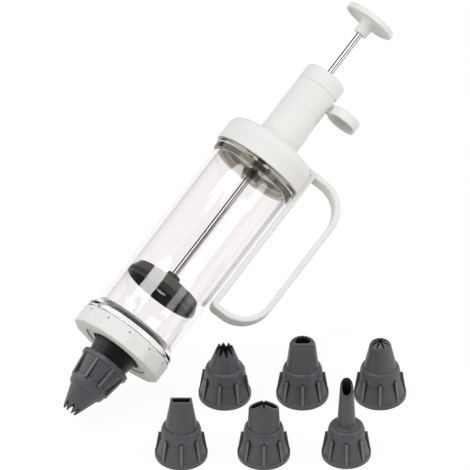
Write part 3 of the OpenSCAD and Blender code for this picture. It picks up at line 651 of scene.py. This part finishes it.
def makeHead(skirt, skirtIn, low, top, shoulder, neck, neckIn, neckTop, fillet, seat, roof, cavity, ledge,
             rodHole, seam, ringHalf, ringFlat, rings, slotHalf, slotLow, slotTop, slotOut):
    corners = [(skirtIn, low, 0.3), (skirt, low, 0.5), (skirt, top, shoulder), (neck, top, fillet)]
    for height, depth in rings:
        corners += [(neck, height - ringHalf, 0.2), (neck - depth, height - ringFlat, 0.1),
                    (neck - depth, height + ringFlat, 0.1), (neck, height + ringHalf, 0.2)]
    corners += [(neck, neckTop - seam, 0.1), (neck - seam, neckTop, 0.1), (neckIn, neckTop, 0.2),
                (neckIn, seat, 0.5), (rodHole, seat), (rodHole, roof), (cavity, roof, 1.5),
                (cavity, ledge, 0.3), (skirtIn, ledge, 0.2)]
    shell = lathe("head_shell", corners, columns=160, steps=6)
    insideOut, insideTop = skirt - headInside["wall"], top - headInside["wall"]
    inside = lathe("head_inside", [
        (0, headInside["low"]), (insideOut, headInside["low"]),
        (insideOut, insideTop - headInside["slopeDown"]),
        (insideOut - headInside["slopeOut"], insideTop), (0, insideTop)], solid=True)
    joinTo(shell, cutAway(makeLoop(**handle), inside))
    cutAway(shell, softBox("lever_slot", (0, -slotHalf, slotLow), (slotOut, slotHalf, slotTop), 0))
    dress(shell, whitePlastic, "syringe", "white_plastic", "head", "handle")
    shell.visible_glossy = False  # its shaded bar stays out of the tube's reflections


makeHead(**head)
print("barrel, lid, head and handle made")

# Cap on the neck

cap = {"outside": 14, "low": 198.9, "top": 209.55, "rounding": 3.2, "spigot": 11.75, "spigotLow": 196.85,
       "spigotWall": 1.2, "guide": 4, "guideLow": 203.15, "roof": 207.15, "rodHole": 2.05, "seam": 0.45}


def makeCap(outside, low, top, rounding, spigot, spigotLow, spigotWall, guide, guideLow, roof, rodHole, seam):
    inner = spigot - spigotWall
    piece = lathe("top_cap_shell", [
        (inner, spigotLow, 0.3), (spigot, spigotLow, 0.3), (spigot, low, 0.1), (outside - seam, low, 0.1),
        (outside, low + seam, 0.1), (outside, top, rounding), (rodHole, top, 0.4), (rodHole, guideLow, 0.1),
        (guide, guideLow, 0.3), (guide, roof, 0.3), (inner, roof, 0.5)], steps=8)
    dress(piece, whitePlastic, "syringe", "white_plastic", "top_cap")


makeCap(**cap)

# Thumb lever: hollow paddle, stem and the carriage inside the neck

lever = {"low": 190.05, "top": 196.55, "near": 15, "reach": 35, "wide": 30, "wall": 1.8, "roof": 194.75,
         "crown": 1.5, "crownSteps": 6, "pole": 9.9, "carriage": 11.5, "plateSeat": 9.3, "plateTop": 193.3,
         "rodHole": 2.3, "stemHalf": 4.2, "stemBack": 2.5, "stemOver": 1.6}


def fillPole(piece, top, roof):
    # the innermost top and roof rings are closed across
    with meshWork(piece.data) as work:
        wall = [f for f in work.faces if max(v.co.z for v in f.verts) > top - 0.01
                and min(v.co.z for v in f.verts) < roof + 0.01]
        bmesh.ops.delete(work, geom=wall, context="FACES_ONLY")
        bmesh.ops.holes_fill(work, edges=[e for e in work.edges if e.is_boundary], sides=0)
        bmesh.ops.recalc_face_normals(work, faces=work.faces)


def makeLever(low, top, near, reach, wide, wall, roof, crown, crownSteps, pole, carriage, plateSeat,
              plateTop, rodHole, stemHalf, stemBack, stemOver):
    end = (reach - near) / 2

    def paddleRing(inset, z, steps=24):
        # two half circles, joined by straight sides
        ring = []
        for side, first in ((1, 0), (-1, 180)):
            for j in range(steps + 1):
                a = math.radians(first + 180 * j / steps)
                x, y = near + end, side * (wide / 2 - end)
                ring.append((x + (end - inset) * math.cos(a), y + (end - inset) * math.sin(a), z))
        return ring

    section = [(wall - 0.3, low), (0.35, low), (0.1, low + 0.12), (0, low + 0.4), (0, low + 0.7),
               (0, top - crown - 0.3)]
    for j in range(crownSteps + 1):
        a = math.radians(90 * j / crownSteps)
        section.append((crown * (1 - math.cos(a)), top - crown + crown * math.sin(a)))
    section += [(crown + 0.4, top), (pole, top), (pole, roof), (wall + 1.2, roof), (wall + 0.35, roof - 0.25),
                (wall, roof - 1), (wall, low + 0.4)]
    paddle = skinRows("thumb_paddle", [paddleRing(inset, z) for inset, z in section])
    fillPole(paddle, top, roof)
    stem = softBox("lever_stem", (carriage - stemBack, -stemHalf, low), (near + stemOver, stemHalf, top), 0.4)
    slider = lathe("lever_carriage", [
        (plateSeat, low, 0.3), (carriage, low, 0.4), (carriage, top, 0.5), (rodHole, top, 0.3),
        (rodHole, plateTop, 0.1), (plateSeat, plateTop, 0.2)])
    joinTo(paddle, stem, slider)
    dress(paddle, whitePlastic, "lever", "white_plastic", "thumb_lever")


makeLever(**lever)

# Plunger: rod, knob, piston and its seal

rod = {"radius": 2, "low": 34.3, "top": 252.0}
knob = {"radius": 17.1, "hub": 4.5, "hubLow": 243.05, "rimLow": 252.05, "roof": 253.45, "rimTop": 255.85,
        "dome": 1.6, "domeRings": 8, "wall": 1.6, "rodHole": 2.05, "rodTop": 252.1, "flare": 3.0}
piston = {"low": 33, "radius": 25.2, "topRadius": 22.5, "top": 42.6, "dome": 45.6, "hub": 5.5, "hubTop": 48.6,
          "wall": 2, "groove": 24.0, "grooveTop": 36.3, "rodHole": 2.05, "nutSeat": 37.85}
seal = {"inner": 24.05, "low": 33.25, "high": 36.05, "lip": 25.45, "lipLow": 0.7, "lipHigh": 1.4,
        "upper": 25.2}
# faces under the piston's dome get painted shade, within these limits
cupShade = {"below": 0.5, "facingUp": 0.3, "facingOut": 0.9}  # limits of the piston's hollow faces


def makeRod(radius, low, top):
    bar = lathe("plunger_bar", [(0, low), (radius, low, 0.4), (radius, top, 0.3), (0, top)],
                columns=64, solid=True)
    dress(bar, polishedSteel, "plunger", "polished_steel", "plunger_rod")


def makeKnob(radius, hub, hubLow, rimLow, roof, rimTop, dome, domeRings, wall, rodHole, rodTop, flare):
    rim = radius - wall
    shares = [1 - i / domeRings for i in range(1, domeRings + 1)]
    piece = lathe("push_knob", [
        (0, rodTop), (rodHole, rodTop, 0.1), (rodHole, hubLow, 0.2), (hub, hubLow, 0.8),
        (hub + 0.5, roof, flare), (rim - 0.5, roof, 0.5), (rim, rimLow, 0.4),
        (radius, rimLow, 0.6), (radius, rimTop, 1.5),
        *[(rim * share, rimTop + dome * (1 - share ** 2)) for share in shares]], steps=6, solid=True)
    dress(piece, whitePlastic, "plunger", "white_plastic", "knob")


def makePiston(low, radius, topRadius, top, dome, hub, hubTop, wall, groove, grooveTop, rodHole, nutSeat):
    cup = lathe("piston_cup", [
        (groove - wall, low, 0.5), (groove, low, 0.4), (groove, grooveTop, 0.1), (radius, grooveTop, 0.3),
        (topRadius, top, 1.6), (hub + 1, dome, 1.5), (hub, dome + 0.4, 0.6), (hub - 0.5, hubTop, 0.7),
        (rodHole, hubTop, 0.2), (rodHole, nutSeat, 0.1), (hub, nutSeat, 0.3), (hub, dome - wall, 0.6),
        (topRadius - wall, top - wall, 1.2)], columns=160, steps=6)

    def underneath(middle, normal):
        within = middle.z < dome - cupShade["below"] and middle.xy.length < groove
        facingOut = normal.dot(outward(middle))
        return float(within and normal.z < cupShade["facingUp"] and facingOut < cupShade["facingOut"])

    # the cup's hollow faces get painted shade through the inside attribute
    markFaces(cup, "inside", underneath)
    dress(cup, pistonPlastic, "plunger", "smoky_plastic", "piston")


def makeSeal(inner, low, high, lip, lipLow, lipHigh, upper):
    ring = lathe("piston_lip", [
        (inner, low, 0.2), (lip - 0.4, low, 0.3), (lip, low + lipLow, 0.3), (lip, low + lipHigh, 0.3),
        (upper, high, 0.3), (inner, high, 0.1)], columns=160)
    dress(ring, blackRubber, "plunger", "black_rubber", "piston_seal")


makeRod(**rod)
makeKnob(**knob)
makePiston(**piston)
makeSeal(**seal)

# Return spring: foot on the head's seat, top under the grip plate

spring = {"low": 154.85, "high": 191.1, "turns": 9.0, "radius": 7.0, "wire": 0.6, "travel": 20}


def makeSpring(low, high, turns, radius, wire, travel):
    piece = growPiece("return_coil", coilTree, {
        "Turns": turns, "Radius": radius, "Rise": high - low, "Wire radius": wire, "Foot": low,
        "Finish": springSteel})
    dress(piece, springSteel, "syringe", "spring_steel", "return_spring")
    plainMesh(piece)
    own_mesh(piece)


makeSpring(**spring)
print("cap, lever, plunger and spring made")

# Spout and the ring nut that holds it

spout = {"bore": 10.4, "plug": 12.75, "plugLow": -30.45, "shoulder": 13.6, "shoulderZ": -21.45, "neck": 15.4,
         "plateLow": -10.75, "plate": 29.3, "plateTop": -8.75, "spigot": 25.2, "spigotTop": -2.75,
         "spigotWall": 2, "funnel": 3}
nut = {"radius": 32.2, "apothem": 31.5, "panels": 12, "panelDeep": 1.5, "low": -12.6, "high": -0.3,
       "bore": 29.9, "floor": 1.8, "hole": 17.4, "recess": 22.4, "recessDepth": 0.85,
       "groove": 0.45, "grooveWide": 0.5, "mark": 1.2, "markTop": 3.6, "markDeep": 1.1}


def makeSpout(bore, plug, plugLow, shoulder, shoulderZ, neck, plateLow, plate, plateTop, spigot, spigotTop,
              spigotWall, funnel):
    spigotIn = spigot - spigotWall
    piece = lathe("outlet_spout", [
        (bore, plugLow, 0.4), (plug, plugLow, 0.6), (plug, shoulderZ, 0.2), (shoulder, shoulderZ, 0.4),
        (neck, plateLow, 1.0), (plate, plateLow, 0.3), (plate, plateTop, 0.3), (spigot, plateTop, 0.2),
        (spigot, spigotTop, 0.5), (spigotIn, spigotTop, 0.5), (spigotIn, plateTop, 0.4),
        (bore + funnel, plateTop, 0.8), (bore, plateTop - funnel, 1.2)], columns=144, steps=6)
    dress(piece, blackPlastic, "outlet", "black_plastic", "spout")


def makeNut(radius, apothem, panels, panelDeep, low, high, bore, floor, hole, recess, recessDepth, groove,
            grooveWide, mark, markTop, markDeep):
    def panelled(r, z, a):
        if r < apothem - panelDeep:
            return r
        pitch = fullTurn / panels
        return r - radius + min(radius, apothem / math.cos(a % pitch - pitch / 2))

    step = low + recessDepth
    piece = lathe("ring_nut_shell", [
        (hole, step, 0.2), (recess - grooveWide, step, 0.1), (recess - grooveWide, step + groove, 0.1),
        (recess, step + groove, 0.1), (recess, low, 0.35), (radius, low, 1.0), (radius, high, 0.5),
        (bore, high, 0.3), (bore, low + floor, 0.3), (hole, low + floor, 0.2)], columns=240, shape=panelled)
    dent = softBox("nut_mark", (radius - markDeep, -mark / 2, high - markTop),
                   (radius + past, mark / 2, high - markTop + mark), bevel=0.15, segments=2)
    cutAway(piece, roundTheAxis("nut_marks", dent, panels, 0.0, whitePlastic))
    dress(piece, whitePlastic, "nut", "white_plastic", "ring_nut")


makeSpout(**spout)
makeNut(**nut)
print("spout and ring nut made")

# Nozzles: one ribbed base, and a tip for each

nozzle = {"socket": 12.8, "socketTop": 10, "collar": 16.5, "collarTop": 3.4, "body": 15.6, "bodyTop": 12.6,
          "bodyHigh": 17.8, "lip": 0.45, "shoulder": 10.2, "shoulderHigh": 23.4, "wall": 1.4, "seatGap": 0.3,
          "columns": 144, "grooveUnder": 1.9, "lipUnder": 1.6, "lipEdge": 0.35,
          "shoulderArc": 80, "shoulderSteps": 5}
ribs = {"count": 8, "wide": 1.8, "deep": 2.6, "foot": 16.45, "top": 14.2, "sunk": 1.2, "edge": 0.28}
# the ribs' outer faces get a painted highlight
ridgeHighlightLimits = {"above": 0.3, "proud": 0.4, "facing": 0.6}  # limits of the ribs' paler faces
# painted shade inside each tip, darker the deeper
paintedTipShade = {"depth": 5, "least": 0.93, "facing": -0.3}  # how dark the way through a tip is
tipFoot = nozzle["shoulderHigh"]
hollowFoot = (nozzle["shoulder"] - nozzle["wall"], tipFoot)


def baseCorners(slim=0.0, shoulder=nozzle["shoulder"]):
    # outside of the base, from the collar's foot to the top of the shoulder
    collar, body, top = nozzle["collar"] - slim, nozzle["body"] - slim, nozzle["bodyTop"] - slim
    ledge, high, lip = nozzle["collarTop"], nozzle["bodyHigh"], top + nozzle["lip"]
    corners = [(collar, 0, 0.6), (collar, ledge, 0.7), (body, ledge + 0.2, 0.5),
               (top, high - nozzle["grooveUnder"], 0.1), (lip - 0.1, high - nozzle["lipUnder"], 0.3)]
    start, steps = lip - nozzle["lipEdge"], nozzle["shoulderSteps"]
    for j in range(1, steps + 1):
        a = math.radians(nozzle["shoulderArc"] * j / steps)
        corners.append((shoulder + (start - shoulder) * math.cos(a), high + (tipFoot - high) * math.sin(a)))
    return corners


def solidTip(name, corners, base=None, steps=soft["steps"]):
    return lathe(name, [(0, 0), *(base or baseCorners()), *corners], nozzle["columns"], steps, solid=True)


def wayThrough(name, corners):
    # the socket, and from there what the corners say
    socket, top = nozzle["socket"], nozzle["socketTop"]
    start = [(0, -past), (socket, -past), (socket, top), (socket - nozzle["wall"], top)]
    return lathe(name, start + corners, solid=True)


def makeRibs(slim, turn):
    low, high = nozzle["collarTop"] - ribs["sunk"], nozzle["bodyHigh"]
    foot, top = ribs["foot"] - slim, ribs["top"] - slim
    lean = math.atan2(foot - top, high - low)
    half = (high - low) / math.cos(lean) / 2
    rib = softBox("rib", (-ribs["deep"], -ribs["wide"] / 2, -half), (0, ribs["wide"] / 2, half), ribs["edge"])
    rib.data.transform(Matrix.Rotation(-lean, 4, "Y"))
    rib.data.transform(Matrix.Translation(((foot + top) / 2, 0, (low + high) / 2)))
    return roundTheAxis("ribs", rib, ribs["count"], turn * fullTurn / ribs["count"], slatePlastic)


def splitManySided(piece):
    # the cuts leave faces with many corners, which are split here so that no two triangles overlap
    with meshWork(piece.data) as work:
        bmesh.ops.dissolve_degenerate(work, edges=work.edges, dist=10 * mergeWithin)
        many = [f for f in work.faces if len(f.verts) > 4]
        bmesh.ops.triangulate(work, faces=many, ngon_method="BEAUTY")


def finishNozzle(piece, kind, high, slim=0.0, ribTurn=0.0, place=None, body=None):
    ledge, bodyHigh = nozzle["collarTop"], nozzle["bodyHigh"]

    def onRib(middle, normal):
        # outer faces of the ribs, which stand proud of the body's wall, get a painted highlight
        taper = (nozzle["bodyTop"] - nozzle["body"]) * (middle.z - ledge) / (bodyHigh - ledge)
        proud = middle.xy.length > nozzle["body"] + taper - slim + ridgeHighlightLimits["proud"]
        facing = normal.dot(outward(middle)) > ridgeHighlightLimits["facing"]
        return float(ledge + ridgeHighlightLimits["above"] < middle.z < bodyHigh and proud and facing)

    def withinTip(middle, normal):
        # faces that look at the axis above the socket get painted shade, darker the deeper they are
        hidden = nozzle["socketTop"] < middle.z < high and normal.dot(outward(middle)) < paintedTipShade["facing"]
        return min(1, max(paintedTipShade["least"], (high - middle.z) / paintedTipShade["depth"])) if hidden else 0

    node = kind + "_nozzle"
    joinTo(piece, makeRibs(slim, ribTurn))
    splitManySided(piece)
    markFaces(piece, "ridge", onRib)
    markFaces(piece, "inside", withinTip)
    dress(piece, slatePlastic, body or kind + "_spare", "slate_plastic", node,
          place=place or standPlace(node), sharp=30)


star = {"high": 38.6, "mouth": 4.8, "notch": 4.7, "skirtShare": 0.3, "rim": 0.12, "rimDrop": 0.1,
        "outsideRows": (0.45, 0.6, 0.75, 0.9, 0.985), "insideRows": (0.985, 0.75, 0.4, 0.03)}


def makeStar(kind, teeth, ribTurn, **mounting):
    # the cone's rows all end on a zigzag edge
    angles = evenAngles(nozzle["columns"])
    shoulder, wall, high = nozzle["shoulder"], nozzle["wall"], star["high"]
    socket, socketTop = nozzle["socket"], nozzle["socketTop"]
    half = fullTurn / teeth / 2

    def edgeHeight(a):
        off = abs((a + half) % (2 * half) - half) / half
        return high - star["notch"] * (1 - off) - star["rimDrop"]

    def coneRow(share, inset):
        row = []
        for a in angles:
            z = tipFoot + (edgeHeight(a) - tipFoot) * share
            r = shoulder + (star["mouth"] - shoulder) * (z - tipFoot) / (high - tipFoot) - inset
            row.append((r * math.cos(a), r * math.sin(a), z))
        return row

    skirt = (shoulder + (star["mouth"] - shoulder) * star["skirtShare"],
             tipFoot + star["skirtShare"] * (high - tipFoot))
    outside = softProfile([
        (socket, 0, 0.4), *baseCorners(), (shoulder, tipFoot, 2.5), skirt], closed=False)[:-1]
    inside = softProfile([
        (socket - wall, socketTop, 0.4), (socket, socketTop, 0.2), (socket, 0, 0.4)], closed=False)
    rows = [roundRow(r, z, angles) for r, z in outside]
    rows += [coneRow(share, 0) for share in star["outsideRows"]]
    rows += [coneRow(1, star["rim"]), coneRow(1, wall - star["rim"])]
    rows += [coneRow(share, wall) for share in star["insideRows"]]
    rows += [roundRow(r, z, angles) for r, z in inside]
    finishNozzle(skinRows(kind + "_tip", rows), kind, high, ribTurn=ribTurn, **mounting)


seat = Matrix.Translation((0, 0, spout["shoulderZ"] - nozzle["seatGap"]))
nozzleDown = syringePlace @ seat @ Matrix.Rotation(math.pi, 4, "X")
makeStar("star", 8, 0.5, place=nozzleDown, body="mounted_nozzle")
makeStar("wide_star", 9, -0.3)

halfRound = {"high": 41.8, "radius": 8, "rounding": 2.6, "mouth": 4.4, "footFront": -9.95, "endFront": -2.3,
             "far": 40, "side": 30, "teeth": 7, "toothFrom": 3.4, "toothTo": 6.9, "toothHalf": 1.2}


def makeHalfRound(high, radius, rounding, mouth, footFront, endFront, far, side, teeth, toothFrom, toothTo,
                  toothHalf):
    def frontBlock(name, shift):
        # everything in front of a plane that leans back from the shoulder to the mouth
        outline = [(footFront + shift, tipFoot), (endFront + shift, high + past), (-far, high + past),
                   (-far, tipFoot)]
        return extrude(name, outline, -side, side)

    piece = solidTip("half_round_tip", [
        (nozzle["shoulder"], tipFoot, 2), (radius, high, rounding), (0, high)], steps=6)
    cutAway(piece, frontBlock("front_face", 0))
    hollow = wayThrough("half_round_hollow", [hollowFoot, (mouth, high), (mouth, high + 2 * past),
                                              (0, high + 2 * past)])
    cutAway(piece, cutAway(hollow, frontBlock("front_inside", nozzle["wall"])))
    tooth = [(toothFrom, -toothHalf), (toothTo, 0), (toothFrom, toothHalf)]
    for i in range(teeth):
        notch = extrude("tooth", tooth, high - rounding, high + past, "z")
        cutAway(piece, turned(notch, math.pi * (i + 0.5) / teeth))
    finishNozzle(piece, "half_round", high)


makeHalfRound(**halfRound)

closedStar = {"high": 42.4, "radius": 7, "flat": 0.6, "domeSteps": 12, "hole": 1.3, "slits": 8, "slitDeep": 5,
              "slitShape": ((1.0, 0.37), (3.2, 0.62), (5.9, 0.3))}  # distance from the axis and half width


def makeClosedStar(high, radius, flat, domeSteps, hole, slits, slitDeep, slitShape):
    def dome(reach, top):
        rise = reach * flat
        arc = [math.radians(90 * j / domeSteps) for j in range(domeSteps + 1)]
        return [(reach * math.cos(a), top - rise + rise * math.sin(a)) for a in arc]

    wall, low, above = nozzle["wall"], high - slitDeep, high + past
    piece = solidTip("closed_star_tip", [(nozzle["shoulder"], tipFoot, 2), *dome(radius, high)], steps=6)
    cutAway(piece, wayThrough("closed_star_hollow", [hollowFoot, *dome(radius - wall, high - wall)]))
    outline = [(r, -half) for r, half in slitShape] + [(r, half) for r, half in reversed(slitShape)]
    slit = extrude("slit", outline, low, above, "z")
    cutAway(piece, roundTheAxis("slits", slit, slits, math.pi / slits, slatePlastic))
    cutAway(piece, lathe("slit_hole", [(0, low), (hole, low), (hole, above), (0, above)], solid=True))
    finishNozzle(piece, "closed_star", high)


makeClosedStar(**closedStar)


def slotRing(halfWide, halfDeep, bend, z):
    # a slot with rounded corners, with points evenly along its edge
    outline = cornerArcs(halfWide, halfDeep, bend, 12)
    outline = np.array(outline + outline[:1])
    along = np.concatenate([[0], np.cumsum(np.hypot(*np.diff(outline, axis=0).T))])
    at = np.linspace(0, along[-1], nozzle["columns"], endpoint=False)
    x, y = np.interp(at, along, outline[:, 0]), np.interp(at, along, outline[:, 1])
    first = int(np.argmin(np.abs(np.arctan2(y, x))))
    return np.roll(np.column_stack([x, y, np.full(len(at), z)]), -first, axis=0)


def loftTip(name, mouth, low, high, inset=0.0, steps=12):
    # from a round foot to a slot, with straight sides
    halfWide, halfDeep, bend = mouth
    start = np.array(roundRow(nozzle["shoulder"] - inset, low, evenAngles(nozzle["columns"])))
    end = slotRing(halfWide - inset, halfDeep - inset, max(bend - inset, 0.25), high)
    rows = [start + (end - start) * i / steps for i in range(steps + 1)]
    axis = np.zeros_like(start)
    return skinRows(name, [axis + (0, 0, low), *rows, axis + (0, 0, high)], closed=False)


flatFoot = {"ledge": 0.6, "under": 0.1, "outside": 0.4, "inside": 0.5}  # how a flat tip sits on its base


def flatTip(kind, mouth, wall, top, insideTop):
    ledge = tipFoot - flatFoot["under"]
    base = [*baseCorners()[:-1], (nozzle["shoulder"] + flatFoot["ledge"], ledge, 0.4)]
    piece = solidTip(kind + "_tip", [(0, ledge)], base)
    joinTo(piece, loftTip(kind + "_outside", mouth, tipFoot - flatFoot["outside"], top))
    cutAway(piece, wayThrough(kind + "_socket", [hollowFoot, (0, tipFoot)]))
    return cutAway(piece, loftTip(kind + "_inside", mouth, tipFoot - flatFoot["inside"], insideTop, wall))


# a mouth is half its width, half its depth and the rounding of its corners
ribbon = {"high": 42.8, "mouth": (6.6, 3.0, 0.8), "wall": 1.4, "insideOver": 0.3}
leaf = {"high": 41, "mouth": (9.2, 2.4, 2.38), "wall": 1.35, "drop": 4.6, "notchDeep": 2.6, "notchHalf": 1.2,
        "far": 20, "above": 3, "over": 0.5, "insideOver": 0.7}


def makeRibbon(high, mouth, wall, insideOver):
    finishNozzle(flatTip("ribbon", mouth, wall, high, high + insideOver), "ribbon", high)


def makeLeaf(high, mouth, wall, drop, notchDeep, notchHalf, far, above, over, insideOver):
    # the mouth is cut to a roof's slopes, with a notch at the ridge
    piece = flatTip("leaf", mouth, wall, high + over, high + insideOver)
    eaves, sky = high - drop * far / mouth[0], high + above
    roof = extrude("leaf_roof", [(0, high), (far, eaves), (far, sky), (-far, sky), (-far, eaves)], -far, far)
    cutAway(piece, turned(roof, -math.pi / 2))
    notch = extrude("leaf_notch", [
        (0, high - notchDeep), (notchHalf, high + over), (-notchHalf, high + over)], -far, far)
    cutAway(piece, turned(notch, math.pi / 2))
    finishNozzle(piece, "leaf", high)


makeRibbon(**ribbon)
makeLeaf(**leaf)

filler = {"high": 57.6, "foot": 5.8, "tip": 3.9, "fillet": 3, "wall": 1.3, "bevel": 11, "slim": 1.0,
          "far": 20, "step": 0.1}


def makeFiller(high, foot, tip, fillet, wall, bevel, slim, far, step):
    piece = solidTip("filler_tube", [(foot + step, tipFoot + step, fillet), (tip, high, 0.3), (0, high)],
                     baseCorners(slim, foot + fillet), 6)
    cutAway(piece, wayThrough("filler_hollow", [
        (foot - wall, tipFoot), (tip - wall, high + past), (0, high + past)]))
    slope = [(tip, high + step), (-tip - past, high - bevel), (-far, high - bevel), (-far, high + 2 * past)]
    cutAway(piece, extrude("filler_bevel", slope, -far, far))
    finishNozzle(piece, "filler", high, slim)


makeFiller(**filler)
print("nozzles made")

# CAD nodes that stay, with better materials
for node, finish in (("rod_nut", springSteel), ("grip_plate", springSteel), ("gasket", blackRubber)):
    mesh = frame["nodes"][node].data
    mesh.materials.clear()
    mesh.materials.append(finish)

# Camera at the photograph's angle

view = {"azimuth": -46.2, "elevation": 37.5, "right": 0.0673, "up": 0.0629, "frame": 0.29375, "distance": 9.0,
        "sensor": 36}
azimuth, elevation = math.radians(view["azimuth"]), math.radians(view["elevation"])
toCamera = Vector((math.sin(azimuth) * math.cos(elevation), -math.cos(azimuth) * math.cos(elevation),
                   math.sin(elevation)))
viewRight = Vector((math.cos(azimuth), math.sin(azimuth), 0))
viewUp = toCamera.cross(viewRight)
target = nutTop + viewRight * view["right"] + viewUp * view["up"]
cameraData = bpy.data.cameras.new("photo_camera")
cameraData.sensor_width = view["sensor"]
cameraData.lens = view["sensor"] * view["distance"] / view["frame"]
camera = addObject("photo_camera", cameraData)
camera.location = target + toCamera * view["distance"]
camera.rotation_euler = (-toCamera).to_track_quat("-Z", "Y").to_euler()
scene.camera = camera

# Studio: pale floor, white surround for what looks at it, soft lamps and cards that only reflections see

studio = {"skyLight": 0.6, "floorColor": (0.66, 0.645, 0.61, 1), "floorGlow": 1.05, "floorWhite": 0.9,
          "floorHalf": 6, "floorLow": -0.0005, "lampAim": 0.1}
# a lamp's direction is its share of the way to the camera, to the right and up
lamps = {"key_lamp": {"toward": (0.4, -0.7, 0.9), "distance": 1.3, "size": 0.9, "watts": 6.5},
         "fill_lamp": {"toward": (0.3, 1.0, 0.3), "distance": 1.4, "size": 1.0, "watts": 7.0}}
# the cards' light, where each starts and ends along the syringe, how far off it is and how wide, in metres
glow = {"tent": 0.14, "inner": 2.6, "rod": 4.8, "lid": 5.0, "piston": 7.6, "nose": 2.4, "rim": 1.2}
span = {"tent": (-0.8, 1.2), "inner": (-0.3, 0.9), "rod": (0.335, 0.9), "lid": (0.279, 0.3005),
        "piston": (0.184, 0.2185), "nose": (-0.25, 0.163)}
away = {"tent": 1.0, "inner": 0.92, "strip": 0.9}
wide = {"tent": 0.36, "nose": 0.6}
# angles round the axis from the camera's side, and for the two sides also a width and a share of the light
sideCards = (("wide", -36, 0.66, 1.0), ("narrow", 45, 0.34, 0.35))
turns = {"nose": (-60, -98), "tent": range(-170, 190, 20), "rim": range(80, 141)}


def seenDirectly(tree):
    # 1 for rays from the camera, mirrors and glass
    path = addNode(tree, "ShaderNodeLightPath")
    shown = addMath(tree, "MAXIMUM", path["Is Camera Ray"], path["Is Glossy Ray"])
    return addMath(tree, "MAXIMUM", shown, path["Is Transmission Ray"])


def makeWorld():
    world = bpy.data.worlds.new("white_surround")
    world.use_nodes = True
    tree = world.node_tree
    level = addNode(tree, "ShaderNodeMapRange", {
        "Value": seenDirectly(tree), "To Min": studio["skyLight"], "To Max": 1})[0]
    setInputs(tree.nodes["Background"], {"Color": (1, 1, 1, 1), "Strength": level})
    scene.world = world


def showGlow(tree, plain, share, strength):
    light = addNode(tree, "ShaderNodeEmission", {"Strength": strength})[0]
    mix = addNode(tree, "ShaderNodeMixShader", {0: share, 1: plain, 2: light})[0]
    setInputs(tree.nodes["Material Output"], {"Surface": mix})


def addPanel(name, corners, finish):
    mesh = bpy.data.meshes.new(name)
    mesh.from_pydata(corners, [], [(0, 1, 2, 3)])
    mesh.materials.append(finish)
    panel = addObject(name, mesh)
    return panel


def makeFloor():
    finish, tree, shader = newFinish("pale_floor")
    tree.nodes.remove(shader)
    matte = addNode(tree, "ShaderNodeBsdfDiffuse", {"Color": studio["floorColor"]})[0]
    share = addMath(tree, "MULTIPLY", seenDirectly(tree), studio["floorWhite"])
    showGlow(tree, matte, share, studio["floorGlow"])
    half, low = studio["floorHalf"], studio["floorLow"]
    corners = [(-half, -half, low), (half, -half, low), (half, half, low), (-half, half, low)]
    addPanel("floor", corners, finish)


def addLamp(name, toward, distance, size, watts):
    data = bpy.data.lights.new(name, "AREA")
    data.shape = "RECTANGLE"
    data.size = data.size_y = size
    data.energy = watts
    direction = (toCamera * toward[0] + viewRight * toward[1] + Vector((0, 0, toward[2]))).normalized()
    lamp = addObject(name, data)
    lamp.location = nutTop + axisUp * studio["lampAim"] + direction * distance
    lamp.rotation_euler = direction.to_track_quat("Z", "Y").to_euler()
    lamp.visible_glossy = False
    lamp.visible_transmission = False


def cardFinish(name, strength, deep):
    # seen only by rays that a surface has mirrored, with another level for those from inside the tube
    finish, tree, shader = newFinish(name)
    tree.nodes.remove(shader)
    path = addNode(tree, "ShaderNodeLightPath")
    level = addNode(tree, "ShaderNodeMapRange", {
        "Value": path["Transmission Depth"], "From Min": 2, "From Max": 3,
        "To Min": strength, "To Max": deep})[0]
    lit = addMath(tree, "LESS_THAN", path["Diffuse Depth"], 0.5)
    seen = addMath(tree, "MULTIPLY", path["Glossy Depth"], lit, clamp=True)
    showGlow(tree, addNode(tree, "ShaderNodeBsdfTransparent")[0], seen, level)
    finish.cycles.emission_sampling = "NONE"
    return finish


def addCard(name, angle, heights, distance, width, strength, deep):
    # a card beside the syringe's axis, at an angle round it from the camera's side
    forward = (toCamera - axisUp * toCamera.dot(axisUp)).normalized()
    turn = math.radians(angle)
    direction = (forward * math.cos(turn) + axisUp.cross(forward) * math.sin(turn)).normalized()
    half = axisUp.cross(direction).normalized() * width / 2
    foot = nutTop + direction * distance
    low, high = axisUp * heights[0], axisUp * heights[1]
    corners = [foot - half + low, foot + half + low, foot + half + high, foot - half + high]
    card = addPanel(name, corners, cardFinish(name, strength, deep))
    card.visible_camera = False
    card.visible_diffuse = False
    card.visible_shadow = False


def addCards():
    tent, inner = glow["tent"], glow["inner"]
    for side, angle, width, share in sideCards:
        addCard(side + "_inner", angle, span["inner"], away["inner"], width, tent, inner * share)
        most = (1 + share) / 2
        for strip, part in (("rod", most), ("lid", most), ("piston", share)):
            addCard(side + "_" + strip, angle, span[strip], away["strip"], width, glow[strip] * part, inner)
    for turn in turns["nose"]:
        addCard("nose_" + str(-turn), turn, span["nose"], away["strip"], wide["nose"], glow["nose"], tent)
    for turn in turns["tent"]:
        strength = glow["rim"] if turn in turns["rim"] else tent
        addCard("tent_" + str(turn % 360), turn, span["tent"], away["tent"], wide["tent"], strength, tent)


makeWorld()
makeFloor()
for name, lamp in lamps.items():
    addLamp(name, **lamp)
addCards()
print("studio made")
